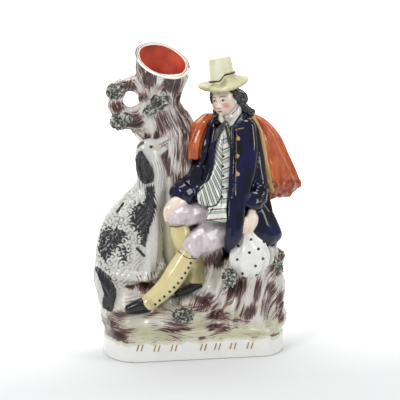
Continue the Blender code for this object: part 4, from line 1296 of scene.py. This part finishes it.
def coat_skins():
    """The open coat, its sleeves with cuffs, its collar and the skirts that spread over the rock."""
    elbow_rings = lambda turn, level: creases(9, 1.5, 1.6)(turn, level) * ease(0.5, 0.7, level)
    yield limb([(42, 5, 247, 15, 13), (44, 5, 240, 28, 17), (44, 5, 226, 30, 20), (43, 4, 205, 28, 21),
                (42, 2, 184, 28, 21), (42, 1, 165, 31, 22), (44, 0, 146, 35, 23), (50, 0, 124, 39, 24),
                (54, 0, 112, 36, 22), (56, 0, 102, 30, 18)], both(folds(3, 0.8, 2.0), folds(7, 0.5, 3.0)),
               squareness=0.9, roundness=0.3, level_cuts=True, sides=110)
    yield limb([(66, 1, 160, 13, 15), (71, -1, 142, 16, 18), (76, -2, 122, 18.5, 19),
                (75, -2, 109, 11, 16)], folds(5, 0.8, 2.0), level_cuts=True, sides=96)
    yield limb(stand(
        (243.5, 127, -9, 13, 9), (244, 150, -13.5, 14.2, 10), (243, 170, -17, 13.4, 10),
        (240, 188, -20.5, 11.8, 10), (236.4, 204, -25.5, 9.4, 10), (235.2, 220, -29.8, 8.8, 10),
        (233.5, 234, -32, 8.8, 9), (230.5, 243, -33, 6.8, 7.5), (228.4, 246.6, -33.5, 4.2, 5.5)),
               folds(3, 0.3), squareness=0.7, sides=96)
    yield limb(stand((263.5, 186, -4, 5, 7), (265, 198, -5, 6, 7), (267, 210, -6, 6.5, 7)), folds(3, 0.5))
    yield limb([(18, 5, 236, 12, 13), (12, 2, 214, 12.5, 13), (9, -3, 196, 12.5, 12.5),
                (0, -11, 183, 12.5, 12), (-10, -18, 173.4, 12.5, 12), (-15.5, -21.5, 168.8, 12, 12)],
               both(folds(2, 1.2, 16.0), creases(4.5, 1.1, 1.2)), sides=96)
    yield limb(stand(
        (251.5, 126, 2, 9.5, 11), (253.5, 146, -1, 10.5, 12.5), (255.5, 166, -4.5, 11, 13),
        (257.8, 182, -9, 10.6, 12.8), (257.8, 193, -15, 10.6, 12.2), (253, 202, -20, 10.6, 11.2)),
               both(folds(2, 0.6, 6.0), elbow_rings), sides=96)
    yield limb([(-11, -18.5, 172.4, 13.8, 13.6), (-16.2, -22, 168.2, 14.4, 13.9),
                (-18.2, -23.5, 166.6, 13.9, 13.4)], roundness=0.25)
    yield limb([(61, -17, 164, 11.2, 11.6), (57, -21, 158, 11.4, 11.8), (55.8, -22, 154.5, 10.6, 11)],
               roundness=0.25)
    yield limb(stand((232, 127, -20, 2.2, 2.4), (231.8, 150, -25.5, 2.2, 2.6),
                     (230.8, 175, -28, 2.2, 2.6), (229.8, 200, -31.5, 2.2, 2.6),
                     (229, 222, -38, 2.2, 2.4), (226.4, 244, -38.5, 2.2, 2.4)), fine=20)
    yield limb(stand((246, 113.5, -2, 3.4, 5), (241, 117, -9, 3.6, 4.4), (236.5, 121.5, -14, 3.4, 3.4),
                     (233.4, 128, -18, 2.4, 2.6)))
    yield limb(stand((214.5, 129, -17, 2.4, 2.6), (212.5, 142, -20.5, 2.4, 2.6),
                     (211.5, 156, -22.5, 2.4, 2.6), (210.5, 170, -24, 2.4, 2.6),
                     (205, 184, -26, 2.4, 2.6), (196.5, 195, -28, 2.2, 2.4)), fine=20)
    yield limb(stand((218, 116, -10, 2.4, 3), (213.5, 120, -12, 2.8, 3), (210.5, 125, -13, 1.8, 2.2)))


COAT_GOLD = (((236.4, 129), (236, 150), (235.6, 172), (235.6, 195)),
             ((235.5, 129.6), (240, 128.6), (244, 128)), ((255.7, 203.4), (258.5, 202), (261.4, 201)))
COAT_BUTTONS = ((238, 138.5), (237.4, 156), (237.7, 174))


def coat():
    """Thick cobalt cloth with gold lines down the front and gold buttons."""
    body = fuse(list(coat_skins()), step=1.2, soften=3)
    crumple = wander(body.points * np.array([1.0, 1.0, 0.4]), 8.0, 81)
    body.push(crumple * 0.4)
    view, front = in_view(body)
    buttons = dots(view, 2.1, *COAT_BUTTONS)
    body.push(np.exp(-np.maximum(buttons + 1.0, 0) ** 2) * 0.9 * front)
    gold = np.minimum(dashes(view, 0.4, *COAT_GOLD), buttons) + OFF_FRONT * (1 - front)
    piece("coat", body, "coat", {"relief": crumple, "gold": gold})


def waistcoat():
    """The waistcoat between the coat's fronts, rounded over the body, with two flaps at its foot."""
    skins = [limb([(31.5, -13.5, 238, 5, 5), (30, -16, 222, 8.5, 7.5), (28, -18.5, 200, 11.5, 8.5),
                   (23, -20, 180, 14.5, 9), (18.5, -20, 168, 15.5, 8.5)], squareness=0.7, sides=110,
                  fine=24),
             limb(stand((209.5, 184, -25, 5.0, 4.5), (205.5, 191, -28, 7.0, 4.5),
                        (204, 198, -31, 8.0, 4), (204.4, 203, -32.5, 7.2, 3.6)), fine=20),
             limb(stand((213, 190, -27, 6.5, 4.5), (213.4, 197, -30, 6.6, 4.5),
                        (212.6, 202.4, -32, 6.4, 3.8)), fine=20),
             limb(stand((222, 192, -26, 6.0, 5), (219.5, 203, -30.5, 7.8, 5),
                        (216.8, 212, -36, 10.2, 5), (216.4, 220.4, -40.0, 10.9, 4)), squareness=0.6,
                  roundness=0.7, fine=20)]
    body = fuse(skins, step=0.82)
    view, front = in_view(body)
    seam = to_line(view, ((225, 128), (222.4, 150), (221.7, 175), (221.3, 206)))
    pocket = to_line(view, ((228, 190), (224, 191.5), (223, 192)))
    body.push(-0.5 * np.exp(-(seam / 0.7) ** 2) * front - 0.3 * np.exp(-(pocket / 0.6) ** 2) * front)
    ink = np.minimum(seam - 0.35, dots(view, 1.3, (223.4, 156.4), (223, 166.4), (223.4, 176),
                                       (223, 186.7), (221.8, 197)))
    flap = ((203, 187), (197.5, 192), (195.8, 198), (198, 204), (203, 207.4), (210, 206.6),
            (216, 205.3), (220, 199.5), (221.4, 195))
    ink = np.minimum(ink, dashes(view, 0.7, flap))
    ink = np.minimum(ink, dashes(view, 0.5, ((205, 219.4), (215, 221.6), (226, 223.6)),
                                 ((213, 208), (205, 219.4))))
    right_half = to_patch(view, ((221.8, 118), (222.2, 150), (221.6, 197), (219, 202.4), (213, 207.6),
                                 (196, 208.4), (196, 232), (250, 232), (250, 118)))
    from_fan = view - np.array([177.6, 99.7])
    slope = 0.45 - 0.38 * ease(160, 205, view[:, 1])
    piece("waistcoat", body, "waistcoat", {
        "slant": np.degrees(np.arctan2(from_fan[:, 1], from_fan[:, 0])) / 2.8,
        "level": (view[:, 1] + (view[:, 0] - 226) * slope + 2.4) / 10,
        "low": ease(166, 182, view[:, 1]), "ink": ink, "right_half": right_half})


def hands():
    """Each hand is a palm and four bent fingers side by side; the left hand has a thumb too."""
    right = [limb(stand((181, 201.5, -27, 8.0, 7.5), (176.5, 205, -30.5, 8.8, 7.6),
                        (172, 209.5, -33, 8.4, 7.2), (169, 213.5, -34, 6.6, 6)))]
    left = [limb(stand((251.5, 213.5, -26, 5.0, 6.0), (251.4, 219, -29, 7.6, 6.4),
                       (249, 226, -31.5, 7.0, 5.6), (247, 231, -32.5, 5.8, 4.6))),
            limb(stand((246, 219, -30, 2.2, 2.6), (243.4, 224, -32, 2.2, 2.4),
                       (242.2, 230, -33, 1.8, 2.0)))]
    for finger in range(4):
        across = 3.2 * finger
        right.append(limb(stand((166.0 + across, 209 + 0.2 * finger, -37, 2.4, 2.5),
                                (165.4 + across, 214.8 - 0.6 * finger, -38.5, 2.3, 2.4),
                                (166.4 + across, 220.2 - 1.8 * finger, -37.5, 2.0, 2.1))))
        aside = 3.5 * finger - 5.2
        left.append(limb(stand((250.6 + aside, 219, -33, 2.3, 2.7),
                               (248.2 + 0.9 * aside, 226, -35.5, 2.1, 2.5),
                               (246.8 + 0.85 * aside, 232, -35.5, 1.8, 2.1))))
    for name, skins in (("right_hand", right), ("left_hand", left)):
        body = fuse(skins, step=0.5)
        view, front = in_view(body)
        blush = dabs(view, (246, 230, 5, 3, 0, 0.15), (166, 208, 4, 6, 0, 0.12))
        lines = dashes(view, 0.05, ((250.6, 224), (247.6, 233)), ((244.6, 221), (242.6, 228)),
                       ((169, 212), (168, 220)))
        piece(name, body, "face", {"blush": blush * front, "lips": lines})


# The breeches' and the gaiter's dark hem lines
HEMS = (((165.5, 225), (170, 226.4), (177, 227), (185, 225)),
        ((177.5, 250.5), (183, 255.5), (189, 258.6), (196.5, 258.6)))


def breeches():
    """Both thighs in soft cloth, gathered above the knee."""
    cloth = both(folds(2, 0.7, 12.0), creases(4, 0.6, 1.4, 1.5), folds(9, 0.3, 5.0))
    skins = [limb(stand((214, 206, -8, 15, 15), (200, 211, -17, 12.5, 13), (186, 214.5, -27, 11.4, 12),
                        (177, 216.8, -34, 9.8, 10.2), (171.6, 219.4, -36.5, 6.7, 7.8)), cloth, sides=96,
                  roundness=0.7),
             limb(stand((236, 224, 2, 18, 17), (221, 230.5, -14, 17.5, 16.5),
                        (206, 238.5, -26, 15.5, 15), (194.5, 245, -33.5, 13.2, 12.8),
                        (188.4, 253.6, -36.8, 11.0, 11.4)), cloth, sides=96, roundness=0.3)]
    body = fuse(skins, step=1.05)
    body.push(0.2 * wander(body.points, 10.0, 91))
    view, front = in_view(body)
    hems = dashes(view, 0.5, *HEMS)
    piece("breeches", body, "breeches", {"ink": hems + FAR_FROM_MARK * (1 - front)})


GAITER_BUTTONS = (
    (193.8, 252), (192.3, 256.3), (190.6, 263), (188.3, 267.7), (185, 273), (181.6, 278), (177.9, 283),
    (174, 287.3), (169.6, 291.6), (164.2, 296.5), (159.5, 300.4), (155.2, 304.2))
# Soft dabs of olive painted shade on the gaiters, mostly where they lie between the legs
GAITER_OLIVE_SHADE = ((201, 272, 6, 16, 0, 0.9), (189, 278, 3, 12, 20, 0.6), (192, 240, 4, 12, 20, 0.5),
                (199, 262, 5, 5, 0, 0.7), (150, 303, 7, 3, 40, 0.4))


# Each shoe's upper and sole
SHOES = {
    "right_shoe": (
        ((197.5, 283.5, -21, 3.6, 7), (188, 288.5, -26, 3.6, 6.8), (177, 292.5, -30, 3.0, 5.4)),
        ((199.5, 286, -21, 1.3, 7), (188, 292.3, -26, 1.3, 6.4), (172.5, 297, -31, 1.1, 5))),
    "left_shoe": (
        ((146.5, 303.5, -38, 7.6, 7.6), (138, 306, -38.5, 6.8, 6.8), (129.5, 308.8, -39, 5.0, 5.2)),
        ((149, 310, -38, 2.0, 7), (138, 312.2, -38.5, 1.8, 6.4), (127, 312.8, -39, 1.4, 4.8)))}


def gaiters_and_shoes():
    """Buttoned gaiters below the knee, each ending over a shoe with a sole."""
    right = limb(stand((176.5, 224, -27, 8.2, 8), (180, 235, -27, 10.8, 10.5),
                       (188.5, 256, -24, 12, 10.5), (196, 270, -22, 10.8, 10),
                       (195.5, 279.5, -22, 9.4, 9.2)),
                 both(creases(3.5, 0.6, 2.0, 1.5), folds(3, 0.8, 7.0, 1.0)), sides=90, roundness=0.5)
    left = limb(stand((187.0, 253.5, -36.5, 9.6, 10), (183, 261, -38.5, 10.8, 10.4),
                      (175.8, 273.5, -39.5, 11.2, 10.2), (167.6, 285, -39.5, 10.6, 9.8),
                      (157.5, 295, -39, 9.6, 9.2), (149.5, 301.5, -38, 8.6, 8.6),
                      (145.6, 305, -38, 8.0, 8.0)), creases(2.6, 0.4, 1.0, 1.5), sides=90,
                roundness=0.25)
    for name, skin in (("right_gaiter", right), ("left_gaiter", left)):
        view, front = in_view(skin)
        buttons = dots(view, 1.4, *GAITER_BUTTONS)
        skin.push(np.exp(-np.maximum(buttons + 0.9, 0) ** 2) * 0.55 * front)
        ink = np.minimum(buttons, dashes(view, 0.5, *HEMS)) + FAR_FROM_MARK * (1 - front)
        # The wash value is the gaiters' olive painted shade
        piece(name, skin, "gaiter", {"ink": ink, "wash": dabs(view, *GAITER_OLIVE_SHADE) * front})
    for name, (upper, sole) in SHOES.items():
        piece(name, fuse([limb(stand(*upper), sides=60), limb(stand(*sole))], step=0.55), "shoe")


def cape():
    """The cape lies over both shoulders and falls in pleats, its lower edge gathered in curls."""
    pleats = both(folds(13, 1.9, 1.0), folds(29, 0.7, 2.0))
    skins = [limb([(46, 13, 251, 18, 8), (42, 11, 243, 37, 14), (45, 12, 228, 48.5, 18),
                   (48.4, 13, 206, 55.9, 20), (56, 14, 184, 58.5, 21), (62.5, 14, 171, 56, 20),
                   (57, 14, 164, 47, 19), (50, 14, 158, 38, 17)], pleats, squareness=0.85,
                  roundness=0.15, level_cuts=True, sides=160),
             limb(stand((253, 117, -5, 2.0, 2.4), (260, 129, -6.5, 2.0, 2.6),
                        (264.3, 146, -6, 2.0, 2.6), (267, 164, -5, 2.0, 2.6),
                        (270.3, 179, -4, 2.0, 2.6), (272.6, 190, -4, 1.8, 2.2)), fine=20),
             limb([(92, 13, 179, 20, 13), (95, 13, 170, 20.8, 12), (91, 13, 161.5, 17.5, 11)],
                  both(folds(7, 1.4), folds(15, 0.6)), squareness=0.9, roundness=0.3, level_cuts=True,
                  sides=110),
             limb([(18, 6, 250, 7, 7), (9, 1, 241, 8.5, 11), (0.5, -1, 222, 9, 13.5),
                   (-1.0, -1, 206, 8.5, 13.5)], both(folds(7, 1.0), folds(13, 0.5, 1.0)),
                  squareness=0.9, roundness=0.25, level_cuts=True, sides=110)]
    body = fuse(skins, step=1.3)
    points = body.points
    hem = ease(188, 174, points[:, 2]) * ease(60, 72, points[:, 0])
    scroll = curls(points, 13.0, 8.0, 95)
    soft = 0.6 * wander(points, 7.0, 97)
    body.push(scroll * hem * 0.6 + soft * 0.3)
    view, front = in_view(body)
    lining = dashes(view, 2.0, ((251.9, 116.7), (260.5, 131), (264.3, 146.4), (266.2, 163.6),
                                (270, 180.8), (272.6, 191))) + OFF_FRONT * (1 - front)
    piece("cape", body, "cape", {
        "relief": scroll * hem + soft * 0.6, "lining_edge": lining, "hem": (1 - hem) * 12 - 5})


def bundle():
    """A spotted kerchief tied into a bundle, pulled up in folds to its knot."""
    def pull(turn, level):
        pleats = 1.4 * ease(0.35, 0.05, level) * np.cos(9 * turn + 1)
        return 0.8 * np.cos(7 * turn + 2 * level) + pleats - 2.5 * ease(0.22, 0.0, level)

    skins = [lump((54.2, -28, 102.5), (21.2, 13.5, 22.2), 0.0, pull, 130, 80),
             limb(stand((246.8, 232, -31, 5.4, 5.2), (248.4, 238.5, -31, 9.0, 7.0),
                        (250.5, 247, -30, 16.0, 10)), folds(9, 0.9, 2.0), sides=80)]
    body = fuse(skins, step=0.85)
    view, front = in_view(body)
    spots = dots(view, 1.5, (238.2, 246), (251, 239.5), (263.8, 241.9), (258.4, 249), (249.4, 252.6),
                 (237.3, 259.6), (263.1, 258.7), (255.5, 266), (242.4, 273.6), (256.7, 275.4))
    away = nearest_seed(body.points * np.array([1, 0.2, 1]), 9.0, 99)
    behind = np.hypot(away[:, 0], away[:, 2]) - 1.2
    piece("bundle", body, "bundle", {
        "relief": 0.4 * wander(body.points, 8.0, 101), "ink": spots * front + behind * (1 - front)})


# Rock and ground

TURF_RISE, TURF_SUNK = 13, 8


def oval_end_outline(length, depth, end, steps=60):
    """The base's plan: straight front and back, with half an ellipse at each end."""
    bend = np.linspace(-math.pi / 2, math.pi / 2, steps)
    straight = length / 2 - end
    right = grid(straight + end * np.cos(bend), depth / 2 * np.sin(bend))
    path = np.vstack([right, -right])
    closed = np.vstack([path, path[:1]])
    reach = np.append(0, np.cumsum(np.linalg.norm(np.diff(closed, axis=0), axis=1)))
    even = np.linspace(0, reach[-1], 6 * steps, endpoint=False)
    return np.stack([np.interp(even, reach, closed[:, axis]) for axis in (0, 1)], -1)


def base_plan(inset):
    """The base's plan drawn in on all sides."""
    return oval_end_outline(BASE_LENGTH - 2 * inset, BASE_DEPTH - 2 * inset, BASE_END - inset)


def at_height(plan, height):
    """A plan as a ring at a height."""
    return grid(plan[:, 0], plan[:, 1], height)


def rock_skins():
    """The seat, the rock before and behind it, its knobs, and the bank under the dog."""
    ridges = folds(13, 2.4, 5.0)
    yield limb([(69, 2, 106, 23, 28), (64.5, 1, 88, 29.5, 34), (61, 0, 62, 35, 38), (58, 0, 34, 37, 41)],
               ridges, squareness=0.9, roundness=0.5, sides=120)
    yield limb([(44, -16, 92, 13, 12), (38, -20, 72, 18, 15), (32, -22, 50, 24, 18),
                (28, -22, 34, 28, 21)], ridges, sides=120)
    yield limb([(12, 2, 112, 22, 24), (12, 0, 84, 24, 26), (14, 0, 50, 32, 32)], folds(9, 1.2, 3.0))
    yield lump((88.8, -1, 97), (9.6, 14, 10), 0.4, locks(4, 8, 1.0))
    yield lump((83.5, -2, 62), (13.5, 27, 21), -0.2, folds(9, 1.6, 4.0))
    yield lump((86.5, -3, 34), (13, 30, 13), 0.0, locks(7, 9, 1.0))
    yield lump((-65.5, 0, 46), (33, 38, 40), 0.0, locks(7, 9, 1.4))
    yield lump((-48, -20, 38), (44, 23, 15.5), 0.06, locks(9, 7, 1.0))
    yield lump((-6, -18, 44), (34, 24, 21), -0.05, locks(7, 8, 1.2))


def turf():
    """Low ground over the whole base: the base's plan, drawn in as it rises and rolled at its edge."""
    levels = []
    for rise in np.linspace(0, math.pi / 2, 12):
        inset = 1.2 + 52 * (1 - math.cos(rise)) ** 1.5
        outline = oval_end_outline(BASE_LENGTH - 2 * inset, BASE_DEPTH - 1.4 * inset,
                                   max(2, BASE_END - 0.5 * inset))
        levels.append(at_height(outline, BASE_HEIGHT + TURF_RISE * math.sin(rise)))
    sunk = at_height(levels[0][:, :2], BASE_HEIGHT - TURF_SUNK)
    return ring_skin(np.array([sunk] + levels))


def rock_grain(points):
    """Across and along the combed rock: strokes that lean down to the left, near upright under the
    bundle; and across and along the near-level strokes of the ground."""
    view = seen(points)
    right, down = view[:, 0], view[:, 1]
    lean = 0.25 + 0.55 * ease(256, 272, right) + 0.5 * ease(242, 210, right) * ease(262, 290, down)
    lean = lean - 0.35 * ease(196, 180, right)
    shake = 1.4 * wander(points, 24.0, 111) + 0.5 * wander(points, 9.0, 113)
    steep = grid(right + lean * (down - 280) + 0.4 * points[:, 1] + shake, down, 0)
    level = grid(1.3 * down + 3 * np.sin(right / 11) + 0.5 * points[:, 1] + shake, right, 0)
    rise = down + 0.25 * np.maximum(0, 215 - right) - 0.3 * np.maximum(0, right - 225)
    return steep, level, ease(306, 318, rise + 3 * wander(points, 11.0, 114))


# Soft dabs of maroon and of green on the rock and the ground
ROCK_WASH = ((218, 258, 11, 8, 0, 1.0), (205, 300, 13, 9, -20, 0.95), (219, 316, 10, 5, 0, 0.9),
             (240, 287, 6, 12, 15, 0.95), (250, 313, 6, 10, 15, 0.9), (257, 290, 3.5, 15, 10, 0.9),
             (282, 257, 4, 9, 0, 1.0), (281, 301, 5, 9, 0, 0.85), (282, 315, 5, 8, 0, 0.85),
             (219, 328, 12, 5, 0, 0.85), (172, 328, 18, 4, 0, 0.65), (150, 313, 9, 4, 0, 0.7),
             (202, 339, 4, 3, 0, 0.9), (115, 330, 14, 12, 0, 0.85), (122, 316, 12, 6, 0, 0.8),
             (132, 284, 10, 5, 0, 0.9), (147, 287, 9, 7, 0, 0.9), (226, 292, 7, 6, 30, 0.6),
             (268, 300, 5, 18, 15, 0.8), (274, 270, 4, 9, 0, 0.8))
ROCK_GREEN = ((150, 334, 45, 6, 0, 0.7), (245, 334, 38, 6, 0, 0.8), (195, 325, 25, 8, 0, 0.5),
              (275, 325, 12, 10, 0, 0.6), (110, 322, 10, 12, 0, 0.5), (235, 318, 12, 8, 0, 0.5))


def rock():
    """The rock seat, the bank under the dog and the ground between, combed and washed with maroon."""
    body = fuse([*rock_skins(), turf()], step=1.25)
    steep, level, lying = rock_grain(body.points)
    slope = ease(0.95, 0.55, body.normals()[:, 2]) * ease(BASE_HEIGHT + 1, BASE_HEIGHT + 12,
                                                          body.points[:, 2])
    upright, laid = (combed_twice(grain, *ROCK_COMB) for grain in (steep, level))
    ridges = upright + (laid - upright) * lying
    body.push((ridges - 0.2) * 1.5 * (0.15 + 0.85 * slope))
    below = body.points[:, 2] < BASE_HEIGHT - 2
    body.points[below, 2] = BASE_HEIGHT - 2
    points = body.points
    view, front = in_view(body)
    wash = 1.35 * dabs(view, *ROCK_WASH) * front + front * (0.5 * wander(points, 12.0, 115) - 0.08)
    wash = np.clip(wash + (1 - front) * (0.3 + 0.4 * wander(points, 26.0, 117)), -0.4, 1.3)
    low = ease(70, 30, points[:, 2])
    green = dabs(view, *ROCK_GREEN) * front + low * (0.25 + 0.4 * wander(points, 14.0, 119))
    piece("rock_and_ground", body, "bark", {
        "grain": steep, "level_grain": level, "lying": lying, "relief": ridges * slope, "wash": wash,
        "green": np.clip(green, 0, 1),
        "olive": np.clip(low * (0.1 + 0.6 * wander(points, 20.0, 121)), 0, 1)})


def plinth():
    """The low base: its plan carried up from a narrow foot, with a rounded upper edge."""
    profile = ((30.0, 0.0), (6.0, 0.0), (1.4, 0.0), (0.35, 0.5), (0.0, 1.6), (0.0, 8.0), (0.0, 19.6),
               (0.25, 20.9), (0.9, 21.7), (2.2, 22.0), (8.0, 22.0), (30.0, 22.0))
    table = along(profile, 48)
    table[:, 1] = np.clip(table[:, 1], 0, BASE_HEIGHT)
    skin = ring_skin(np.array([at_height(base_plan(max(0.0, inset)), height) for inset, height in table]))
    flat = ease(0.0, 2.0, skin.points[:, 2])
    skin.push(0.25 * wander(skin.points, 24.0, 131) * flat)
    edge = skin.points[:, 2] - BASE_HEIGHT
    drip = 2.4 * wander(at_height(skin.points, 0), 7.0, 133)
    piece("plinth", skin, "base", {
        "wash": -edge - 0.1 - drip * 0.9, "green": -edge - 3.5 - drip,
        "foot": skin.points[:, 2] - 0.8})


def gilt_strokes():
    """Rows of short slanting strokes in gilt on the front of the base: rounded dashes in pairs."""
    skins = []
    for right, down in ((140, 348.0), (157, 348.5), (174, 348.0), (203.5, 347.3), (217.5, 346.7),
                        (233, 346.0), (250, 345.3)):
        for side in (-2.1, 2.1):
            top, foot = stand((right + side + 0.9, down - 3.0, -47.0),
                              (right + side - 0.9, down + 3.0, -47.0))
            skins.append(limb([(top[0], -46.95, top[2], 0.75, 0.45),
                               (foot[0], -46.95, foot[2], 0.75, 0.45)], sides=16, fine=6))
    piece("gilt_strokes", joined(skins), "gilt")


# Setting: floor, light and camera

def setting():
    """A white sweep of floor that rises into a back wall and glows as painted light, brighter towards
    the back; soft light from above and a camera at the photograph's place."""
    front, bend, top, half_width = -1.6, 0.7, 2.4, 2.2
    turn = np.linspace(0, math.pi / 2, 24)
    depth = np.concatenate([np.linspace(front, bend, 12), bend + bend * np.sin(turn),
                            np.full(6, 2 * bend)])
    height = np.concatenate([np.zeros(12), bend - bend * np.cos(turn), np.linspace(bend + 0.05, top, 6)])
    across = np.linspace(-half_width, half_width, 12)
    points = grid(across[None, :], depth[:, None], height[:, None])
    count, sides = points.shape[:2]
    ring, side = np.indices((count - 1, sides - 1))
    corner = (ring * sides + side).ravel()
    mesh = bpy.data.meshes.new("paper_sweep")
    mesh.from_pydata(points.reshape(-1, 3).tolist(), [],
                     grid(corner, corner + 1, corner + sides + 1, corner + sides).tolist())
    mesh.shade_smooth()
    paper = bpy.data.materials.new("white_paper")
    paper.use_nodes = True
    shader = paper.node_tree.nodes["Principled BSDF"]
    nodes, links = paper.node_tree.nodes, paper.node_tree.links
    spot, parts, rise = (nodes.new(kind) for kind in ("ShaderNodeTexCoord", "ShaderNodeSeparateXYZ",
                                                      "ShaderNodeMapRange"))
    # Painted light: the paper glows, dim at the front and brighter towards the back wall
    for node, title, value in (
            (shader, "Base Color", (0.70, 0.71, 0.715, 1.0)), (shader, "Roughness", 0.9),
            (shader, "Specular IOR Level", 0.1), (shader, "Emission Strength", 0.9),
            (rise, "From Min", -0.12), (rise, "From Max", 0.8), (rise, "To Min", 0.0),
            (rise, "To Max", 1.0)):
        node.inputs[title].default_value = value
    links.new(spot.outputs["Object"], parts.inputs[0])
    links.new(parts.outputs["Y"], rise.inputs["Value"])
    links.new(rise.outputs["Result"], shader.inputs["Emission Color"])
    mesh.materials.append(paper)
    sweep = added("paper_sweep", mesh)

    world = bpy.data.worlds.new("studio")
    world.use_nodes = True
    sky = world.node_tree.nodes["Background"]
    sky.inputs["Color"].default_value = (1.0, 1.0, 1.0, 1.0)
    sky.inputs["Strength"].default_value = 0.36
    bpy.context.scene.world = world
    middle = Vector((0.0, 0.0, 0.16))
    for name, place, size, power in (("left_softbox", (-0.95, -0.95, 1.0), (0.45, 0.7), 9.0),
                                     ("right_softbox", (1.1, -0.6, 0.75), (0.35, 0.7), 4.2),
                                     ("top_softbox", (0.0, 0.15, 1.35), (0.8, 0.6), 9.6)):
        light = bpy.data.lights.new(name, "AREA")
        light.shape = "RECTANGLE"
        light.size, light.size_y = size
        light.energy = power
        lamp = added(name, light)
        lamp.location = place
        lamp.rotation_euler = (middle - Vector(place)).to_track_quat("-Z", "Y").to_euler()

    lens = bpy.data.cameras.new("photograph_view")
    lens.sensor_width = 36.0
    lens.lens = VIEW_FOCAL / VIEW_SIDE * lens.sensor_width
    lens.clip_end = 20.0
    camera = added("photograph_view", lens)
    axes = Matrix([[right, up, back] for right, up, back in zip(VIEW_RIGHT, VIEW_UP, VIEW_BACK)])
    camera.matrix_world = Matrix.Translation(Vector(VIEW_EYE * MM)) @ axes.to_4x4()
    bpy.context.scene.camera = camera
    bpy.context.scene.view_settings.view_transform = "Standard"


# Brushed colours: light, dark, scale of the streaks and what else differs from the usual
BRUSHED = {
    "ear": ((62, 62, 66), (24, 24, 28), 180.0, {"contrast": 1.3, "roughness": 0.3, "coat": 0.3}),
    "hair": ((52, 52, 51), (10, 10, 12), 420.0, {"contrast": 2.4}),
    # The hat's and the gaiter's last colours are painted shade: the hat's on its brim, the gaiter's
    # between the legs
    "hat": ((246, 243, 218), (226, 223, 184), 60.0,
            {"line_colour": (58, 48, 34), "roughness": 0.4, "coat": 0.12,
             "shade_colour": (156, 154, 104)}),
    "linen": ((236, 234, 230), (212, 206, 200), 90.0, {"line_colour": (92, 44, 38)}),
    # The bow's pale line colour paints the highlight on its knot
    "bow": ((80, 82, 68), (24, 26, 26), 220.0, {"line_colour": (230, 228, 220)}),
    "flesh": ((242, 230, 216), (234, 216, 200), 100.0, {}),
    "breeches": ((236, 226, 228), (192, 174, 182), 150.0,
                 {"stretch": (1.0, 1.0, 0.4), "contrast": 1.2, "line_colour": (86, 48, 40)}),
    "gaiter": ((238, 226, 176), (222, 202, 140), 60.0,
               {"line_colour": (26, 26, 30), "shade_colour": (128, 120, 66)}),
    "shoe": ((40, 37, 40), (10, 9, 12), 120.0, {"roughness": 0.2, "coat": 0.3}),
    "gilt": ((190, 156, 96), (146, 112, 60), 300.0, {"roughness": 0.4, "coat": 0.1})}
GLAZES = {
    "bark": bark_glaze(), "moss": moss_glaze(), "dog": dog_glaze(), "coat": cobalt_glaze(),
    "waistcoat": waistcoat_glaze(), "cape": cape_glaze(), "face": face_glaze(), "bundle": spotted_glaze(),
    "base": base_glaze()}
for name, (light, dark, scale, more) in BRUSHED.items():
    GLAZES[name] = painted(name, light, dark, scale, **more)

for build in (setting, trunk, lip_ring, moss_clumps, dog, dog_ear, dog_tail, head, hair, hat, hat_band,
              neck_cloths, coat, waistcoat, hands, breeches, gaiters_and_shoes, cape, bundle, rock,
              plinth, gilt_strokes):
    build()
